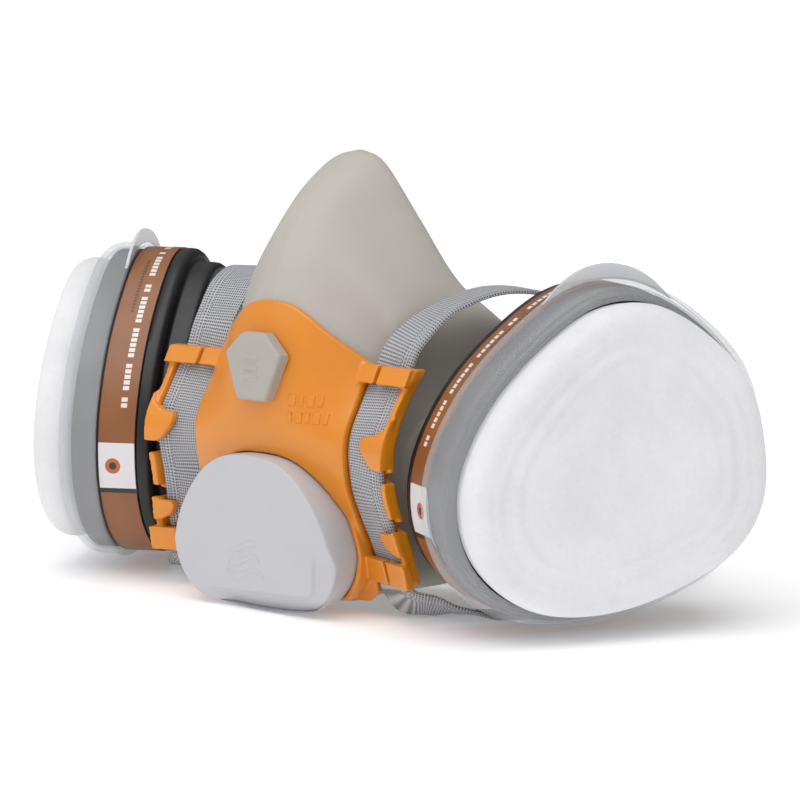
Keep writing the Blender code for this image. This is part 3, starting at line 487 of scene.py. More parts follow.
def webbing_look():
    """Grey elastic webbing: a woven grid, an oversewn edge and a corded edge."""
    look = Look("webbing", 0.82, 0.25, Sheen_Weight=0.25, Sheen_Roughness=0.5)
    round_it, along = look.uv()
    # across runs over the face from the selvedge next to the panel to the outer one
    across = look.math('SUBTRACT', WEBBING_ROUND, look.math('PINGPONG', round_it, WEBBING_ROUND))
    warp, weft, slant = look.wave(across, 0.8), look.wave(along, 1.0), look.times(across, 0.5)
    holes = look.times(look.scaled(warp, 0.5, 0.5), look.scaled(weft, 0.5, 0.5))
    height = look.math('SUBTRACT', 1.0, holes, clamp=True)
    # slanting stitches over one edge, and rows of dots along a cord in the other
    slant = look.wave(look.math('ADD', along, slant), 1.25)
    edge = look.below(across, 2.0)
    cord = look.between(across, 12.6, 15.2)
    dots = look.times(look.above(look.wave(across, 1.25), 0.0), look.above(look.wave(along, 1.1), -0.1))
    grey, dark, pale = linear(158, 160, 165), linear(50, 51, 58), linear(192, 193, 198)
    body = look.ramp(holes, (0.0, pale), (0.3, grey), (0.7, dark))
    stitched = look.ramp(look.scaled(slant, 0.5, 0.5), (0.15, dark), (0.55, pale))
    corded = look.blend(dots, pale, dark)
    shade = look.blend(edge, body, stitched)
    shade = look.blend(look.times(cord, 0.85), shade, corded)
    wide = look.scaled(look.noise(14.0, 3.0), 0.35, 0.82)
    look.colour(look.blend(1.0, shade, wide, 'MULTIPLY'))
    look.bump(look.math('ADD', height, look.times(slant, look.times(edge, 0.6))), 0.28)
    look.bump(look.noise(0.5, 3.0), 0.05)
    return look


def label_look(length):
    """A brown printed band with plain pale bars in place of print, and a white patch with a plain mark."""
    look = Look("printed_label", 0.34, 0.5, Coat_Weight=0.25, Coat_Roughness=0.25)
    round_it, along = look.uv()
    ground = look.ramp(look.noise(30.0, 2.0), (0.3, linear(126, 76, 38)), (0.7, linear(146, 90, 46)))
    # a row of bars, some of them left out by chance, and one thick mark before it
    pitch = look.math('DIVIDE', round_it, 2.0)
    chance = look.node("ShaderNodeTexWhiteNoise", noise_dimensions='1D')
    look.plug(look.math('FLOOR', pitch), chance.inputs["W"])
    bars = look.times(look.below(look.math('FRACT', pitch), 0.74), look.above(chance.outputs[0], 0.16))
    bars = look.times(bars, look.near(along, 4.3, 1.05))
    bars = look.times(bars, look.between(round_it, length * 0.62, length * 0.89))
    thick = look.times(look.between(round_it, length * 0.565, length * 0.6), look.near(along, 4.6, 1.9))
    # a short row of small dark bars
    small = look.below(look.math('FRACT', look.math('DIVIDE', round_it, 1.5)), 0.7)
    small = look.times(small, look.near(along, 7.4, 0.55))
    small = look.times(small, look.between(round_it, length * 0.70, length * 0.78))
    printed = look.blend(look.math('ADD', bars, thick, clamp=True), ground, linear(232, 226, 218))
    printed = look.blend(look.times(small, 0.75), printed, linear(60, 34, 22))
    # the white patch with its round mark, and the dark slit beside it
    start, end = length * 0.925, length * 0.972
    patch = look.between(round_it, start, end)
    from_middle = look.math('POWER', look.math('SUBTRACT', round_it, (start + end) / 2), 2.0)
    from_middle = look.math('ADD', from_middle, look.math('POWER', look.math('SUBTRACT', along, 7.6), 2.0))
    printed = look.blend(patch, printed, linear(226, 224, 226))
    printed = look.blend(look.times(patch, look.below(from_middle, 7.0)), printed, linear(190, 96, 44))
    printed = look.blend(look.times(patch, look.below(from_middle, 1.6)), printed, linear(52, 40, 36))
    look.colour(look.blend(look.between(round_it, end, end + 1.7), printed, linear(26, 24, 26)))
    look.rough(look.scaled(look.noise(5.0), 0.2, 0.26))
    look.bump(look.noise(9.0, 2.0), 0.1)
    return look


def clear_look(name, body):
    """Slightly frosted clear plastic: all but a share of the light goes straight through."""
    look = Look(name, 0.2, 0.5, Coat_Weight=0.6, Coat_Roughness=0.08)
    look.colour(look.ramp(look.noise(40.0, 1.0), (0.3, linear(222, 224, 227)), (0.7, linear(236, 237, 239))))
    look.rough(look.scaled(look.noise(24.0, 1.0), 0.08, 0.16))
    look.bump(look.noise(24.0, 1.0), 0.06)
    through = look.node("ShaderNodeBsdfTransparent")
    through.inputs["Color"].default_value = (0.95, 0.955, 0.965, 1)
    mixed = look.node("ShaderNodeMixShader")
    mixed.inputs[0].default_value = body
    look.plug(through.outputs[0], mixed.inputs[1])
    look.plug(look.shader.outputs[0], mixed.inputs[2])
    look.plug(mixed.outputs[0], look.tree.nodes["Material Output"].inputs["Surface"])
    return look


def felt_look():
    """White non-woven filter fleece."""
    look = Look("filter_fleece", 0.92, 0.15, Sheen_Weight=0.3, Sheen_Roughness=0.6)
    look.shader.inputs["Subsurface Weight"].default_value = 0.12
    look.shader.inputs["Subsurface Radius"].default_value = (0.003, 0.003, 0.003)
    shade = look.ramp(look.noise(26.0, 3.0), (0.25, linear(228, 228, 231)), (0.75, linear(241, 241, 243)))
    fibre = look.ramp(look.noise(1.6, 5.0, 0.7), (0.2, (0.93, 0.93, 0.94)), (0.8, (1.0, 1.0, 1.0)))
    look.colour(look.blend(1.0, shade, fibre, 'MULTIPLY'))
    look.bump(look.noise(7.0, 3.0), 0.35)
    look.bump(look.noise(0.9, 4.0, 0.7), 0.1)
    return look


RUBBER = plain_look("face_rubber", linear(188, 183, 175), 0.58, 0.9, 0.02, 0.03, 0.35, Sheen_Weight=0.08)
ORANGE = plain_look("orange_plastic", linear(228, 139, 27), 0.33, 0.7, 0.015, 0.04, 0.5, Coat_Weight=0.4,
                    Coat_Roughness=0.16)
COVER_GREY = plain_look("cover_plastic", linear(196, 196, 200), 0.5, 0.6, 0.02, 0.02, 0.4)
PLUG_GREY = plain_look("plug_plastic", linear(178, 173, 165), 0.5, 0.6, 0.02, 0.03, 0.4)
BLACK = plain_look("black_plastic", linear(22, 21, 23), 0.38, 0.8, 0.03, 0.12, 0.5)
DARK = plain_look("dark_plastic", linear(66, 66, 70), 0.45, 0.8, 0.03, 0.08, 0.5)
SILICONE = plain_look("silicone", linear(222, 214, 192), 0.4, 1.2, 0.02, 0.04, 0.45, Subsurface_Weight=0.25)
CARBON = plain_look("carbon", linear(30, 30, 32), 0.9, 1.4, 0.5, 0.3, 0.3)
WEBBING = webbing_look()
CLEAR, CLEAR_TAB = clear_look("clear_plastic", 0.22), clear_look("clear_thick_plastic", 0.75)
FELT = felt_look()


# ---------------------------------------------------------------- facepiece

FACE_STEPS, FACE_ROWS, FACE_WALL, LIP_BACK = 84, 9, 2.2, -7.0
BOSS_RADIUS, SPOT_RADIUS, HOLE_RADIUS, BOSS_BACK, BOSS_FRONT = 20.5, 18.1, 13.8, -12.0, -2.5
SEAT_DEPTH, LIP_HALF_HEIGHT = 1.2, 31
FACE_SEAT = [(0, 91), (9, 89.5), (16, 83), (20, 75), (22, 60), (23, 40), (22.5, 22), (17, 9), (0, 6)]
FACE_SECTIONS = [
    [(0, -24.4, 100.4), (10, -21.8, 97.5), (20, -15.6, 90.5), (29, -9.4, 81), (34.5, -10, 66),
     (37, -16, 50), (38, -14, 30), (35, -11, 12), (21, -11.5, 2), (0, -11.5, 0)],
    [(0, -18, 116), (8.5, -16, 113.5), (20.5, -10.3, 104.5), (31, -5.5, 91), (39, -2.5, 73),
     (43.5, -1, 50), (42, -1, 28), (33, -3, 8), (17, -4, 1.8), (0, -4, 0.6)],
    [(0, -3.5, 130.8), (8.6, -3, 128), (20.5, 1, 113.5), (32.8, 6.2, 98), (45, 14.3, 77),
     (50.5, 18, 50), (48, 17, 28), (37, 14, 9), (19, 11, 1.4), (0, 10, 0.2)],
    [(0, 13.3, 140.2), (8.6, 12.8, 137), (21, 14.8, 120), (34.8, 19, 99.5), (50, 31, 80),
     (56, 35, 52), (52, 34, 27), (39, 28, 8), (20, 22, 1.0), (0, 20, -0.3)],
    [(0, 18.8, 135.2), (7.5, 18.8, 131.3), (18.2, 21.8, 115.8), (29.5, 26.6, 97), (42.5, 38, 77),
     (46.5, 41, 52), (43, 40, 30), (33, 34, 13), (17, 28.5, 7), (0, 27, 6)],
]


def panel_front(x, z):
    """The face of the front frame: bowed across, and level with the guides at its sides."""
    middle = table_value(MIDDLE_PROFILE, z)
    side = guide_front(PANEL_HALF_WIDTH, z) - PANEL_STEP
    return middle + (side - middle) * min(1.0, abs(x) / PANEL_HALF_WIDTH) ** 2.2


def guide_front(x, z):
    """The strap's face where it runs through a guide."""
    return table_value(STRAP_PROFILE, z) - table_value(STRAP_SLOPE, z) * (abs(x) - STRAP_MIDDLE)


def sway(x, z):
    """How far a point of the frame lies outside its place in the flat outline."""
    return math.copysign(table_value(GUIDE_SWAY, z) * min(1.0, abs(x) / PANEL_HALF_WIDTH) ** 2, x)


def face_ring(section):
    half = spline(section, FACE_STEPS)
    half[0].x = half[-1].x = 0.0
    return half + [Vector((-p.x, p.y, p.z)) for p in half[-2:0:-1]]


def make_facepiece():
    """The rubber body: a smooth skin through its sections, two port bosses, and a lip rolled inwards."""
    seat = [(x, panel_front(x, z) + FRAME_WALL + SEAT_DEPTH, z) for x, z in FACE_SEAT]
    rings = [face_ring(section) for section in [seat] + FACE_SECTIONS]
    cover = tipped(COVER_CENTRE, COVER_TIP)
    for point in rings[0]:
        local = cover.inverted() @ point
        if local.z > LIP_BACK and abs(local.y) < LIP_HALF_HEIGHT:
            local.z = LIP_BACK
            point[:] = cover @ local
    columns = [spline(column, 1 + FACE_ROWS * (len(rings) - 1)) for column in zip(*rings)]
    rows = [row[::-1] for row in zip(*columns)]
    face = shape("facepiece_skin", loft(rows, closed=False), mask_place(), fix_normals=False)
    wall = face.modifiers.new("wall", 'SOLIDIFY')
    wall.thickness = FACE_WALL * MM
    wall.offset = -1.0
    wall.use_even_offset = True
    applied(face)
    for side in (1, -1):
        place = port_place(side)
        join(face, drum(BOSS_RADIUS, BOSS_BACK, BOSS_FRONT), place)
        cut(face, drum(SPOT_RADIUS, -40, BOSS_BACK), place)
        cut(face, drum(HOLE_RADIUS, -40, 10), place)
    moulded(face, voxel=0.8, rounds=3)
    dress(face, RUBBER, "mask", "face_rubber", "facepiece")


# ---------------------------------------------------------------- front frame

PANEL_TOP = [(-2, 96.5), (5, 96.2), (10, 94.6), (14.5, 91.8), (20, 87.3), (26, 82.3), (31.5, 77.6)]
PANEL_REST = [(31.5, 5), (28, 1.5), (22, 0.8), (-2, 0.8)]
FLOOR_OUTLINE = [(30.3, 76.6), (51.4, 76.6), (50.2, 70), (49.9, 64), (50.6, 57), (50.6, 46.5),
                 (47, 45.5), (47, 43.9), (51, 42.8), (51, 30.6), (47, 30), (47, 28.4), (51, 27.3),
                 (51, 10.1), (30.3, 10.1)]
TOP_RAIL = [(48.4, 77.4), (52, 77.4), (51.8, 74.5), (50.4, 70), (49.9, 64), (50.7, 57),
            (50.7, 47.8), (48.2, 47.8), (47.8, 62)]
RAIL_SPANS = [(31.7, 43.2), (10.4, 27.6)]
HOOKS = [
    [(50.6, 63.5), (48.9, 60), (45, 57.8), (40.4, 57), (39.6, 55.3), (40.6, 52.6), (44, 48.6),
     (46.4, 47.3), (50.6, 47.3)],
    [(50.6, 28), (47.6, 27), (43.4, 26.8), (42.4, 25), (44, 22), (47.6, 20), (50.6, 19.5)],
]
TOP_BAR = (29.9, 51.3, 72.3, 77.8)         # left, right, bottom and top of the bars over the strap
BOTTOM_BAR = (30.7, 52.0, 9.3, 17.3)
BARS = (TOP_BAR, BOTTOM_BAR)
BAR_SLITS, SLIT_WIDTH, PLATE_GRID = (37.6, 41.6), 1.3, 1.6
FLOOR_THICKNESS, RAIL_RISE, HOOK_THICKNESS, BAR_THICKNESS = 2.0, 1.6, 2.7, 3.8
HOUSING_BACK, HOUSING_FRONT, HOUSING_BOTTOM, VALVE_HOLE = -6.6, -0.6, -23.0, 17.3


def plate(outline, front, thickness):
    """A flat outline in x and z, bent so that its front lies at front(x, z), and given a thickness."""
    bm = bmesh.new()
    bm.faces.new([bm.verts.new((x, 0, z)) for x, z in outline])
    for axis in (0, 2):
        values = [v.co[axis] for v in bm.verts]
        at = PLATE_GRID * math.ceil(min(values) / PLATE_GRID + 0.01)
        while at < max(values) - 0.05 * PLATE_GRID:
            point, normal = Vector(), Vector()
            point[axis], normal[axis] = at, 1.0
            everything = bm.verts[:] + bm.edges[:] + bm.faces[:]
            bmesh.ops.bisect_plane(bm, geom=everything, plane_co=point, plane_no=normal)
            at += PLATE_GRID
    bmesh.ops.dissolve_degenerate(bm, edges=bm.edges, dist=0.02)
    back = bmesh.ops.extrude_face_region(bm, geom=bm.faces[:])
    moved = {v for v in back["geom"] if isinstance(v, bmesh.types.BMVert)}
    for vert in bm.verts:
        x, z = vert.co.x, vert.co.z
        vert.co.y = front(x, z) + (thickness if vert in moved else 0.0)
        vert.co.x += sway(x, z)
    return bm


def guide_plate(outline, front, thickness):
    """A plate that follows the strap, its front measured from the strap's face."""
    return plate(outline, lambda x, z: guide_front(x, z) + front, thickness)


def ledge(left, right, low, high, front, back):
    """A block that follows the strap up the guide, from front to back measured from the strap's face."""
    return guide_plate([(left, high), (right, high), (right, low), (left, low)], front, back - front)


def make_front_frame():
    """Panel, valve housing and strap guides as one orange moulding with rounded edges."""
    place = mask_place()
    outline = [tuple(p) for p in spline(PANEL_TOP, 26)] + PANEL_REST
    frame_skin = shape("front_frame_skin", plate(outline, panel_front, FRAME_WALL), place)
    floor = STRAP_THICKNESS + 2 * GAP
    pieces = [ledge(29.6, 31.2, 9.8, 77.0, 1.0 - PANEL_STEP, floor + 1.6),
              guide_plate(FLOOR_OUTLINE, floor, FLOOR_THICKNESS),
              guide_plate(TOP_RAIL, -RAIL_RISE, floor + 2.9)]
    pieces += [ledge(48.6, 50.8, low, high, -RAIL_RISE, floor + 1.3) for low, high in RAIL_SPANS]
    pieces += [guide_plate(hook, -GAP - HOOK_THICKNESS, HOOK_THICKNESS) for hook in HOOKS]
    pieces += [ledge(*bar, -GAP - BAR_THICKNESS, -GAP) for bar in BARS]
    for piece in pieces:
        join(frame_skin, piece, place)
    for middle, (_, _, low, high) in zip(BAR_SLITS, BARS):
        half = SLIT_WIDTH / 2
        cut(frame_skin, ledge(middle - half, middle + half, low - 1, high + 1, -7.5, 0.4), place)
    mirror = frame_skin.modifiers.new("mirror", 'MIRROR')
    mirror.use_bisect_axis[0] = True
    mirror.bisect_threshold = mirror.merge_threshold = 0.00001
    applied(frame_skin)
    valve = valve_place()
    ring = [Vector((p.x, max(p.y, HOUSING_BOTTOM + 0.02 * p.x))) for p in cover_outline(-0.6)]
    join(frame_skin, loft([lifted(ring, height) for height in (HOUSING_BACK, HOUSING_FRONT)]), valve)
    pocket = [(1.3, -3.3), (-0.3, 13.0), (-0.3, 40)]
    rings = [lifted(cover_outline(distance), height) for distance, height in pocket]
    cut(frame_skin, loft(rings), valve)
    cut(frame_skin, drum(VALVE_HOLE, -20, 20), valve)
    moulded(frame_skin, voxel=0.45, rounds=5)
    dress(frame_skin, ORANGE, "mask", "frame_orange", "front_frame")


MARK_HALF_HEIGHT, MARK_GAP, MARK_LEFT, MARK_RISE, MARK_DEPTH = 1.7, 1.1, 11.8, 0.32, 1.2
MARK_ROWS = [(66.2, (2.4, 1.5, 2.4, 1.5)), (60.9, (1.5, 2.4, 1.5, 2.4, 1.5))]


def make_frame_marks():
    """Two rows of small raised bars on the panel, with no lettering."""
    bars = []
    for height, lengths in MARK_ROWS:
        left, low, high = MARK_LEFT, height - MARK_HALF_HEIGHT, height + MARK_HALF_HEIGHT
        for length in lengths:
            outline = [(left, high), (left + length, high), (left + length, low), (left, low)]
            bars.append(plate(outline, lambda x, z: panel_front(x, z) - MARK_RISE, MARK_DEPTH))
            left += length + MARK_GAP
    marks = shape("panel_marks", bars[0], mask_place())
    for bar in bars[1:]:
        join(marks, bar, mask_place())
    bevelled(marks, 0.2, 2, 35)
    dress(marks, ORANGE, "mask", "frame_orange", "front_frame")


PLUG_CENTRE, PLUG_TIP, PLUG_THICKNESS = (0.0, -35.0, 76.0), math.radians(-4), 3.8
PLUG_BARS = (-3.6, -0.4, 2.8)              # how high up the plug its bars lie
PLUG_BAR = (2.8, 0.65, 0.45)               # half a bar's width and height, and how far it stands out
PLUG_OUTLINE = [(5.2, -10.9), (6.3, -10.3), (11.5, 2.9), (11.5, 4.3), (5.3, 10.3), (4.2, 10.8)]


def make_size_plug():
    """The six-sided plug, with three plain raised bars as its size mark."""
    outline = [Vector(p) for p in PLUG_OUTLINE] + [Vector((-x, y)) for x, y in reversed(PLUG_OUTLINE)]
    place = mask_place() @ tipped(PLUG_CENTRE, PLUG_TIP)
    edge = [(0, 1.3), (0.12, 0.75), (0.4, 0.4), (0.85, 0.12), (1.5, 0)]
    levels = [(0.3, -1.2), (0, -1.0)] + [(distance, PLUG_THICKNESS - depth) for distance, depth in edge]
    rings = [lifted(inset(outline, distance), height) for distance, height in levels]
    plug = shape("size_plug_skin", loft(rings), place)
    for y in PLUG_BARS:
        low, high = (-PLUG_BAR[0], y - PLUG_BAR[1]), (PLUG_BAR[0], y + PLUG_BAR[1])
        join(plug, box((*low, PLUG_THICKNESS - 1.5), (*high, PLUG_THICKNESS + PLUG_BAR[2])), place)
    moulded(plug, voxel=0.25, rounds=3)
    dress(plug, PLUG_GREY, "mask", "plug_grey", "size_plug")


# ---------------------------------------------------------------- valve cover

COVER_TOP, COVER_INSIDE, COVER_FLAT, COVER_RINGS = 13.0, 10.8, 2.6, 86
COVER_WALLS = [(1.6, -3.0), (1.55, -2.6), (1.1, 2.0), (0.75, 6.0), (0.4, 9.6)]
COVER_EDGE = [(0.4, 0.9), (0.44, 0.6), (0.56, 0.32), (0.76, 0.13), (1.0, 0.03), (1.3, 0), (COVER_FLAT, 0)]
VENT_PITCH, VENT_WIDTH = 7.5, 5.2


def cover_face(x, y):
    """How far the face lies behind its highest plane: a flat panel, and a band that falls back round it."""
    low = min(0.0, y + 4) / 23
    right = x - 26.6 - 0.112 * (y + 3)
    bottom = -20.0 + 0.04 * x - y
    corner = 0.7 * (x - y - 41.9)
    beyond = max(right, bottom, corner)
    fade = smooth((-1 - y) / 9) * smooth((x + 24) / 14)
    fall = 1.0 * smooth(beyond / 0.7) + 0.2 * max(0.0, right) + 0.65 * max(0.0, bottom)
    # three rising wave-like bars, a plain sign for air
    sign = 0.0
    for number in range(3):
        middle = -14.5 + 4.4 * number + 1.3 * math.sin((x + 3) * 0.42)
        reach = 8.0 - 1.2 * number
        share = smooth((0.95 - abs(y - middle)) / 0.5) * smooth((reach - abs(x + 3)) / 0.6)
        sign = max(sign, share)
    return 1.2 * low * low + fade * fall - 0.4 * sign


def make_valve_cover():
    """The cover: leaning walls, a rounded edge, the face, a hollow behind it, and vents below."""
    place = valve_place()
    rings = [lifted(cover_outline(distance), height) for distance, height in COVER_WALLS]
    for distance, depth in COVER_EDGE:
        rings.append(lifted(cover_outline(distance), lambda x, y: COVER_TOP - depth - cover_face(x, y)))
    edge = cover_outline(COVER_FLAT)
    for step in range(1, COVER_RINGS):
        rings.append(lifted(shrunk(edge, 1 - step / COVER_RINGS), lambda x, y: COVER_TOP - cover_face(x, y)))
    inner = []
    for share in (0.02, 0.5, 1.0):
        inside = shrunk(cover_outline(4.5), share)
        inner.append(lifted(inside, lambda x, y: COVER_INSIDE - cover_face(x, y) * 0.9))
    inner += [lifted(cover_outline(distance), height) for distance, height in ((3.2, 6.0), (3.4, -3.0))]
    cover = shape("valve_cover_skin", loft(inner + rings), place)
    for number in range(-2, 3):
        middle, half = number * VENT_PITCH, VENT_WIDTH / 2
        cut(cover, box((middle - half, -30, -1.6), (middle + half, -19, 2.6)), place)
    shade(cover.data, 40)
    dress(cover, COVER_GREY, "valve_cover", "cover_grey", "valve_cover")


# ---------------------------------------------------------------- cartridges

BACK_FACE, BACK_STEP, BODY_BACK, LABEL_FRONT, SKIRT_BACK, BODY_FRONT = 7.0, 15.0, 20.3, 33.0, 33.6, 43.0
LUG_COUNT, LUG_SPAN, TWIST, SLOT_PLAY = 3, math.radians(28), math.radians(26), math.radians(5)
HUB_RADIUS, BORE_RADIUS, RECESS_RADIUS, HUB_BACK, RECESS_BACK = 20.0, 14.0, 16.9, 2.2, 6.3
ARC_STEPS, TAB_REACH, TAB_THICKNESS = 12, 15, 1.1
PAD_EDGE = 58.6                            # how far out the pad's rounded edge reaches
PAD_FLAT, PAD_RINGS = 12.2, 64
PAD_SIDE = [(7.6, 43.7), (6.6, 44.6), (6.3, 46.0), (6.3, 48.0), (6.0, 49.2), (5.7, 50.6), (5.6, 52.2),
            (5.8, 54.0), (6.3, 55.6), (7.2, 57.0), (8.4, 57.9), (9.8, 58.4), (11.0, PAD_EDGE),
            (PAD_FLAT, PAD_EDGE)]


def outline_rings(levels):
    """Cartridge outlines at (inset, depth) levels."""
    return [lifted(cartridge_outline(distance), depth) for distance, depth in levels]


def arc_block(inner, outer, low, high, middle, span):
    """A block that follows a circle round z."""
    angles = [middle - span / 2 + span * i / ARC_STEPS for i in range(ARC_STEPS + 1)]
    outline = [Vector((outer * math.cos(a), outer * math.sin(a))) for a in angles]
    outline += [Vector((inner * math.cos(a), inner * math.sin(a))) for a in reversed(angles)]
    return loft([lifted(outline, height) for height in (low, high)])


def make_back(side, name):
    """The black housing: a rounded rim, a stepped-in back and the bayonet hub."""
    place = port_place(side)
    rim = [(8.6, 0), (7.4, 0.35), (6.7, 1.4), (6.5, 3)]
    step = [(6.3, -1.2), (6.0, -0.6), (5.2, -0.35), (3.9, -0.1), (2.6, 0.6), (1.9, 1.7), (1.75, 3)]
    profile = [(distance, BACK_FACE + depth) for distance, depth in rim]
    profile += [(distance, BACK_STEP + depth) for distance, depth in step]
    profile += [(1.8, BODY_BACK - 0.5), (2.1, BODY_BACK - GAP), (5, BODY_BACK - GAP),
                (5, BACK_STEP + 1.8), (8.5, BACK_STEP + 1.8), (8.5, BACK_FACE + 2.4)]
    back = shape("cartridge_back_skin_" + name, loft(outline_rings(profile)), place)
    join(back, drum(HUB_RADIUS, HUB_BACK, BACK_FACE + 1), place)
    cut(back, drum(BORE_RADIUS, 0, 30), place)
    cut(back, drum(RECESS_RADIUS, RECESS_BACK, 30), place)
    for number in range(LUG_COUNT):
        angle = math.radians(90) - TWIST + number * math.tau / LUG_COUNT
        cut(back, arc_block(13, 16.3, 0, 6.9, angle, LUG_SPAN + SLOT_PLAY), place)
    bevelled(back, 0.4, 2, 50)
    shade(back.data)
    dress(back, BLACK, "cartridge_" + name, "black_plastic", "cartridge_back_" + name)


def make_shells(side, name):
    """The black can and the printed band round it."""
    place = port_place(side)
    levels = [(2.4, BODY_BACK), (2.4, BODY_FRONT - 0.8), (2.7, BODY_FRONT - 0.2), (3.3, BODY_FRONT),
              (4.2, BODY_FRONT), (4.2, BODY_BACK)]
    can = shape("cartridge_can_" + name, loft(outline_rings(levels), loop=True), place)
    dress(can, BLACK, "cartridge_" + name, "black_plastic", "cartridge_body_" + name)
    low = BODY_BACK + 0.2
    rings = outline_rings([(1.5, low), (1.5, LABEL_FRONT), (2.2, LABEL_FRONT), (2.2, low)])
    length = sum((a - b).length for a, b in zip(rings[0], rings[0][1:] + rings[0][:1]))
    band = shape("printed_band_" + name, loft(rings, loop=True), place)
    dress(band, label_look(length), "cartridge_" + name, "label", "label_band_" + name)


def make_retainer(side, name):
    """The clear cap that holds the prefilter: rolled rims, a rounded shoulder and a pull tab at the top."""
    place = port_place(side)
    corners = [(-0.5, SKIRT_BACK), (-0.8, SKIRT_BACK + 0.9), (0.0, SKIRT_BACK + 1.8), (0.0, 42.6),
               (0.6, 44.6), (1.7, 46.1), (2.9, 46.6), (3.3, 47.5), (4.6, 47.9), (5.6, 47.5),
               (5.5, 46.6), (3.4, 45.4), (2.1, 44.0), (1.6, 42.0), (1.5, SKIRT_BACK)]
    rings = outline_rings(rounded_profile(corners, 0.8, 3))
    cap = shape("retainer_skin_" + name, loft(rings, loop=True), place)
    dress(cap, CLEAR, "retainer_" + name, "clear_plastic", "retainer_cap_" + name)
    outline = cartridge_outline()
    count = len(outline)
    top = max(range(count), key=lambda i: outline[i].y)
    arc, outer = [], []
    for k in range(-TAB_REACH, TAB_REACH + 1):
        t = k / TAB_REACH
        point = outline[(top + k) % count]
        along = outline[(top + k + 1) % count] - outline[(top + k - 1) % count]
        out = Vector((along.y, -along.x)).normalized()
        arc.append(point)
        outer.append(point + out * (0.2 + 4.6 * max(0.0, 1 - t * t) ** 1.3))
    rings = [lifted(outer + arc[::-1], height) for height in (SKIRT_BACK, SKIRT_BACK + TAB_THICKNESS)]
    tab = shape("retainer_tab_" + name, loft(rings), place)
    bevelled(tab, 0.35, 2, 35)
    dress(tab, CLEAR_TAB, "retainer_" + name, "clear_plastic", "retainer_cap_" + name)


def pad_height(share, x, y):
    """The pad's front inside its rounded edge: soft moulded terraces, then a shallow dish."""
    inward = 1 - share
    rise = PAD_EDGE + 0.6 * smooth(inward / 0.3)
    terraces = 0.28 * math.sin(inward * 44) * smooth(inward / 0.06) * (1 - smooth((inward - 0.2) / 0.14))
    dish = 2.8 * smooth((inward - 0.3) / 0.55)
    return rise + terraces - dish + 0.35 * noise.noise(Vector((x, y, 0)) / 17.0)


def make_pad(side, name):
    """The white filter pad with its soft rounded edge."""
    place = port_place(side)
    rings = []
    for distance, depth in PAD_SIDE:
        lift = 0.12 * noise.noise(Vector((distance, depth, 0)) / 11.0)
        rings.append(lifted(cartridge_outline(distance), depth + lift))
    rim = cartridge_outline(PAD_FLAT)
    for step in range(1, PAD_RINGS):
        share = 1 - step / PAD_RINGS
        rings.append(lifted(shrunk(rim, share), lambda x, y: pad_height(share, x, y)))
    pad = shape("prefilter_fleece_" + name, loft(rings), place)
    pad.data.shade_smooth()
    dress(pad, FELT, "retainer_" + name, "felt", "prefilter_pad_" + name)


# ---------------------------------------------------------------- harness

# the middle of the webbing, and the way its width runs there
STRAP_TOP = [
    ((22, 148, 1.3), (0.5, 0.87, 0)), ((38, 138.5, 1.4), (0.55, 0.83, 0)),
    ((52, 124, 1.3), (0.75, 0.66, 0)), ((62, 112, 1.0), (0.85, 0.5, 0)),
    ((69, 100, 5), (0.95, 0.2, 0)), ((71, 87, 24), (1, -0.1, 0)), ((71, 74, 52), (1, -0.2, 0)),
    ((69, 58, 79), (1, -0.25, 0)), ((64.5, 39, 95), (0.95, -0.35, 0)),
]
# the right-hand strap leaves its guide nearer the facepiece
STRAP_TOP_LEFT = [((57, 17, 100), (0.9, -0.43, 0)), ((49.5, -1, 95.5), (0.93, -0.38, 0)),
                  ((43, -12.5, 85.5), (1, -0.15, 0))]
STRAP_TOP_RIGHT = [((50.5, 17, 100.4), (0.9, -0.43, 0)), ((42.6, -1, 97.4), (0.93, -0.38, 0)),
                   ((40.2, -12.5, 86.5), (1, -0.15, 0))]
STRAP_BOTTOM = [
    ((43.8, -18.8, 7.0), (0.97, -0.2, 0)), ((46.5, -16.5, 3.4), (0.8, -0.35, 0.5)),
    ((52, -12.5, 2.2), (0.62, -0.55, 0.5)), ((59, -6, 0.3), (0.66, -0.68, 0.25)),
    ((65, 2, -1.5), (0.87, -0.49, 0.05)), ((69, 12, -1.4), (0.98, -0.2, 0)),
    ((68, 24, -0.4), (1, 0.05, 0)), ((67, 50, -0.4), (1, 0.05, 0)), ((61, 66, -1.4), (0.9, 0.43, 0)),
    ((50, 80, -2.0), (0.68, 0.73, 0)), ((36, 90.5, -2.1), (0.3, 0.95, 0)),
    ((25, 94, -2.1), (0, 1, 0)), ((17, 94, -2.1), (0, 1, 0)),
]
GUIDE_HEIGHTS = (76, 70, 64, 58, 52, 46, 38, 30, 22, 14)
STRAP_STEPS = 460
CRADLE_Y, CLASP_Y, TABLE = 148.0, 94.0, -3.0
CRADLE_SIZE, CRADLE_CORNER, RIB_COUNT, RIB_PITCH, RIB_Y = (86, 50), 20, 7, 6, 19.8


def strap_section(width, thickness):
    """Half the way round from the outer edge over the face, with rolled selvedges."""
    points = []
    radius = thickness * 0.42
    for x in [width / 2 - radius - (width - 2 * radius) * k / 8 for k in range(9)]:
        points.append((x, thickness / 2))
    for k in range(1, 4):
        angle = math.pi / 2 + math.pi / 2 * k / 4
        x, y = radius + radius * math.cos(angle), radius * math.sin(angle) - radius
        points.append((x - width / 2, y + thickness / 2))
    return points + [(-x, -y) for x, y in points]


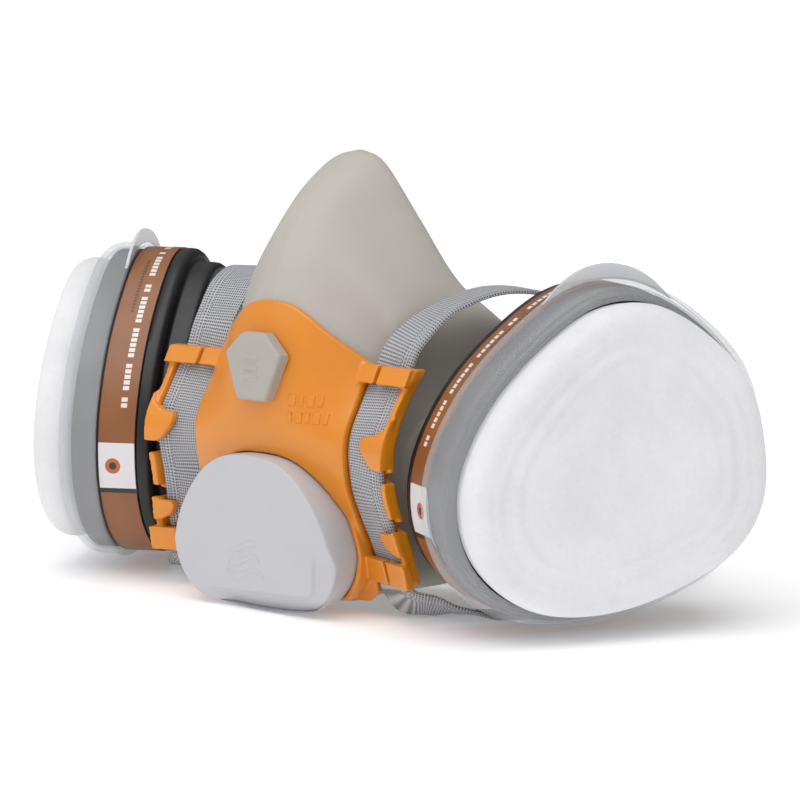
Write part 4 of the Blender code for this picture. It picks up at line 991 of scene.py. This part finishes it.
def make_strap(side, name):
    """One length of webbing from the cradle, through its guide, to the neck clasp."""
    guide = []
    for z in GUIDE_HEIGHTS:
        x = STRAP_MIDDLE + sway(STRAP_MIDDLE, z)
        y = table_value(STRAP_PROFILE, z) + GAP / 2 + STRAP_THICKNESS / 2
        guide.append(((x, y, z), (1, -table_value(STRAP_SLOPE, z), 0)))
    stations = STRAP_TOP + (STRAP_TOP_LEFT if side > 0 else STRAP_TOP_RIGHT) + guide + STRAP_BOTTOM
    spine = spline([place for place, across in stations], STRAP_STEPS)
    lengths = [0.0]
    for (a, _), (b, _) in zip(stations, stations[1:]):
        lengths.append(lengths[-1] + (Vector(b) - Vector(a)).length)
    rings = []
    for i, point in enumerate(spine):
        ahead = spine[min(i + 1, STRAP_STEPS - 1)] - spine[max(i - 1, 0)]
        at = lengths[-1] * i / (STRAP_STEPS - 1)
        k = max(j for j in range(len(lengths) - 1) if lengths[j] <= at + 1e-9)
        share = (at - lengths[k]) / (lengths[k + 1] - lengths[k])
        across = Vector(stations[k][1]).lerp(Vector(stations[k + 1][1]), smooth(share))
        across = (across - ahead * (across.dot(ahead) / ahead.length_squared)).normalized()
        up = ahead.cross(across).normalized()
        rings.append([point + across * x + up * y for x, y in strap_section(STRAP_WIDTH, STRAP_THICKNESS)])
    mirror = Matrix.Scale(side, 4, (1, 0, 0))
    strap = shape("webbing_" + name, loft(rings), mask_place() @ mirror)
    dress(strap, WEBBING, "mask", "webbing", "strap_" + name)


def make_cradle():
    """The crown piece: a frame with rounded edges and a cross bar, lying flat."""
    outer = [p + Vector((0, CRADLE_Y)) for p in rounded_rectangle(*CRADLE_SIZE, CRADLE_CORNER, 16)]
    outside = [(1.2, TABLE), (0.35, -2.75), (0, -2.0), (0, -1.0), (0.35, -0.25), (1.2, 0.1)]
    inside = [(8.8, 0.1), (9.6, -0.25), (9.95, -1.0), (9.95, -2.0), (9.6, -2.75), (8.8, TABLE)]
    rings = [lifted(inset(outer, distance), height) for distance, height in outside + inside]
    place = mask_place()
    cradle = shape("crown_cradle", loft(rings, loop=True), place)
    join(cradle, box((-38, CRADLE_Y - 2.5, -2.7), (38, CRADLE_Y + 2.5, -0.2)), place)
    for number in range(RIB_COUNT):
        x = RIB_PITCH * (number - RIB_COUNT // 2)
        for y in (CRADLE_Y + RIB_Y, CRADLE_Y - RIB_Y):
            join(cradle, box((x - 0.7, y - 3.2, -0.6), (x + 0.7, y + 3.2, 0.45)), place)
    bevelled(cradle, 0.35, 2, 40)
    dress(cradle, DARK, "mask", "dark_plastic", "head_cradle")


CLASP_HEIGHT, CLASP_LOW, CLASP_HIGH = 24, -2.7, 0.3
HOOK_BLOCKS = [((-6, -6, 0), (-3.2, 6, 2.4)), ((-5, -6, 0.7), (6.5, 6, 2.4)),
               ((4.7, -6, -2.4), (6.5, 6, 2.0))]


def clasp_ring(name, middle, width, bar):
    """A flat rectangular ring of the neck clasp."""
    rims = []
    for less, radius in ((0, 2.5), (2 * bar, 1.0)):
        rim = rounded_rectangle(width - less, CLASP_HEIGHT - less, radius)
        rims.append([p + Vector((middle, CLASP_Y)) for p in rim])
    outer, inner = rims
    levels = [(outer, CLASP_LOW), (outer, CLASP_HIGH), (inner, CLASP_HIGH), (inner, CLASP_LOW)]
    return shape(name, loft([lifted(*level) for level in levels], loop=True), mask_place())


def make_clasp():
    """The loop and the hook that close the neck strap."""
    loop = clasp_ring("clasp_loop", 7.2, 15, 3.0)
    bevelled(loop, 0.5, 3, 50)
    dress(loop, DARK, "mask", "dark_plastic", "neck_clasp_loop")
    hook = clasp_ring("clasp_hook", -9.0, 12.4, 2.6)
    for block in HOOK_BLOCKS:
        join(hook, box(*[(x, y + CLASP_Y, z) for x, y, z in block]), mask_place())
    bevelled(hook, 0.45, 3, 50)
    dress(hook, DARK, "mask", "dark_plastic", "neck_clasp_hook")


def make_slider(name):
    """The strap's adjuster: a rounded frame with three grips on it."""
    low, high = [Vector(corner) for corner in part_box("strap_slider_" + name)]
    middle, half = (low + high) / 2, (high - low) / 2 / MM
    place = Matrix.Translation(middle) @ Matrix.Scale(MM, 4)
    slider = shape("strap_adjuster_" + name, box(-half, half), place)
    cut(slider, box((-8.6, -10, -1.3), (8.6, 10, 0.9)), place)
    for y in (-3.6, 0.0, 3.6):
        join(slider, box((-9.6, y - 0.5, half.z - 0.3), (9.6, y + 0.5, half.z + 0.35)), place)
    bevelled(slider, 0.45, 3, 40)
    dress(slider, DARK, "slider_" + name, "dark_plastic", "strap_slider_" + name)


# ---------------------------------------------------------------- inside pieces

PORT_PROFILE = [(13.2, 9), (13.5, 8.7), (13.5, 0), (17.2, 0), (17.5, -0.3), (17.5, -2.2), (13.5, -2.2),
                (13.5, -15.7), (13.2, -16), (11.3, -16), (11, -15.7), (11, 8.7), (11.3, 9)]
RING_PROFILE = [(17.1, -12.3), (17.5, -12.7), (17.5, -14.2), (17.1, -14.6), (14.1, -14.6), (13.8, -14.3),
                (13.8, -12.3)]
SEAL_PROFILE = [(17, 1.3), (16.6, 1.7), (14.2, 1.7), (13.8, 1.3), (13.8, 0.7), (14.2, 0.3), (16.6, 0.3),
                (17, 0.7)]
INHALE_PROFILE = [(0.01, -16.25), (12.4, -16.25), (12.8, -16.5), (12.8, -16.85), (9, -16.9), (3, -17.25),
                  (0.01, -17.4)]
SEAT_PROFILE = [(17, -6.2), (16.8, -6.4), (12.2, -6.4), (12, -6.2), (12, -1.9), (12.3, -1.6), (19.2, -1.6),
                (19.5, -1.9), (19.5, -3.0), (17, -3.0)]
EXHALE_PROFILE = [(0.01, -6.6), (1.2, -6.5), (1.2, -1.3), (13.5, -1.3), (14.3, -1.15), (14.5, -0.9),
                  (14.3, -0.7), (8, -0.62), (3, -0.5), (2, 0.3), (0.01, 0.5)]


def turned_box(low, high, angle):
    """A block turned round z."""
    bm = box(low, high)
    bmesh.ops.rotate(bm, verts=bm.verts, matrix=Matrix.Rotation(angle, 3, 'Z'))
    return bm


def make_port(side, name):
    """The bayonet port: a spigot with three lugs, a flange, and bars across it that back the valve."""
    place = port_place(side)
    port = shape("bayonet_port_" + name, turned(PORT_PROFILE), place)
    for number in range(LUG_COUNT):
        angle = math.radians(90) + number * math.tau / LUG_COUNT
        join(port, arc_block(12.7, 16, 6.6, 8.6, angle, LUG_SPAN), place)
        join(port, turned_box((-0.8, 0, -15.6), (0.8, 11.8, -14), angle), place)
    join(port, drum(2.8, -16, -13.8, 40), place)
    bevelled(port, 0.25, 2, 50)
    dress(port, ORANGE, "mask", "frame_orange", "inhalation_port_" + name)
    ring = shape("lock_ring_" + name, turned(RING_PROFILE), place)
    dress(ring, BLACK, "mask", "black_plastic", "port_lock_ring_" + name)
    seal = shape("gasket_" + name, turned(SEAL_PROFILE), place)
    dress(seal, BLACK, "mask", "black_plastic", "port_gasket_" + name)
    flap = shape("inhalation_flap_" + name, turned(INHALE_PROFILE), place)
    dress(flap, SILICONE, "inhalation_flap_" + name, "silicone", "inhalation_valve_disc_" + name)


def make_valve():
    """The exhalation valve's seat with its spokes, and its flap."""
    place = valve_place()
    seat = shape("valve_seat", turned(SEAT_PROFILE), place)
    for number in range(3):
        join(seat, turned_box((-12.6, -0.8, -5.4), (12.6, 0.8, -3.6), number * math.pi / 3), place)
    join(seat, drum(3.4, -5.6, -1.6, 40), place)
    cut(seat, drum(1.5, -8, 0, 30), place)
    bevelled(seat, 0.2, 2, 50)
    dress(seat, BLACK, "mask", "black_plastic", "exhalation_valve_seat")
    flap = shape("exhalation_flap_skin", turned(EXHALE_PROFILE), place)
    dress(flap, SILICONE, "exhalation_flap", "silicone", "exhalation_valve_disc")


def finish_cad_nodes():
    """The pieces sealed inside the cartridges stay as they are, with real finishes."""
    looks = {"carbon_bed": (CARBON, "carbon"), "dust_screen": (FELT, "felt"),
             "retaining_grid": (BLACK, "black_plastic")}
    for name in ("left", "right"):
        for node, (look, slot) in looks.items():
            obj = frame["nodes"][f"{node}_{name}"]
            obj.data.materials.clear()
            obj.data.materials.append(look.material)


# ---------------------------------------------------------------- stage, light and camera

CAMERA_VIEW, CAMERA_DISTANCE, CAMERA_LENS = (40, 8), 0.96, 135
CAMERA_TARGET = Vector((0.029, -0.0647, 0.067))
SKY_BRIGHTEST, SKY_LEVELS, SKY_REACH = (0, 48), (0.0, 0.64), 0.9
SUN_VIEW, KEY_VIEW, KEY_DISTANCE, KEY_SIZE = (28, 74), (-25, 40), 1.2, 0.7
OVERHEAD_POWER, KEY_POWER, FLOOR_GLOW = 1.35, 0.8, 0.2


def direction(azimuth, elevation):
    a, e = math.radians(azimuth), math.radians(elevation)
    return Vector((math.sin(a) * math.cos(e), -math.cos(a) * math.cos(e), math.sin(e)))


def aimed(name, data, view, distance):
    """A lamp or camera that looks at the object from that side and distance."""
    obj = bpy.data.objects.new(name, data)
    bpy.context.scene.collection.objects.link(obj)
    out = direction(*view)
    obj.location = CAMERA_TARGET + out * distance
    obj.rotation_euler = out.to_track_quat('Z', 'Y').to_euler()
    return obj


def make_stage():
    floor = shape("floor", box((-60000, -60000, -40), (60000, 60000, 0)), Matrix.Scale(MM, 4))
    paper = Look("pale_floor", 0.75, 0.2)
    clouds = paper.noise(900.0, 1.0)
    paper.colour(paper.ramp(clouds, (0.3, linear(249, 249, 250)), (0.7, linear(251, 251, 252))))
    paper.shader.inputs["Emission Color"].default_value = (1, 1, 1, 1)
    paper.shader.inputs["Emission Strength"].default_value = FLOOR_GLOW
    floor.data.materials.append(paper.material)

    world = bpy.data.worlds.new("studio")
    bpy.context.scene.world = world
    world.use_nodes = True
    nodes, links = world.node_tree.nodes, world.node_tree.links
    where = nodes.new("ShaderNodeTexCoord")
    toward = nodes.new("ShaderNodeVectorMath")
    toward.operation = 'DOT_PRODUCT'
    toward.inputs[1].default_value = direction(*SKY_BRIGHTEST)
    links.new(where.outputs["Generated"], toward.inputs[0])
    level = nodes.new("ShaderNodeMapRange")
    level.interpolation_type = 'SMOOTHSTEP'
    level.inputs["From Min"].default_value = -SKY_REACH
    level.inputs["From Max"].default_value = SKY_REACH
    level.inputs["To Min"].default_value = SKY_LEVELS[0]
    level.inputs["To Max"].default_value = SKY_LEVELS[1]
    links.new(toward.outputs["Value"], level.inputs["Value"])
    links.new(level.outputs["Result"], nodes["Background"].inputs["Strength"])
    nodes["Background"].inputs["Color"].default_value = (1.0, 1.0, 1.0, 1)

    sun = bpy.data.lights.new("overhead", 'SUN')
    sun.energy = OVERHEAD_POWER
    sun.angle = math.radians(60)
    aimed("overhead", sun, SUN_VIEW, 0)
    key = bpy.data.lights.new("key", 'AREA')
    key.shape = 'RECTANGLE'
    key.size = key.size_y = KEY_SIZE
    key.energy = KEY_POWER
    aimed("key", key, KEY_VIEW, KEY_DISTANCE)


def make_camera():
    data = bpy.data.cameras.new("camera")
    data.lens = CAMERA_LENS
    bpy.context.scene.camera = aimed("camera", data, CAMERA_VIEW, CAMERA_DISTANCE)
    bpy.context.scene.view_settings.view_transform = 'Standard'


make_facepiece()
make_front_frame()
make_frame_marks()
make_size_plug()
make_valve_cover()
make_valve()
for side, name in ((1, "left"), (-1, "right")):
    make_port(side, name)
    make_back(side, name)
    make_shells(side, name)
    make_retainer(side, name)
    make_pad(side, name)
    make_strap(side, name)
    make_slider(name)
make_cradle()
make_clasp()
finish_cad_nodes()
make_stage()
make_camera()
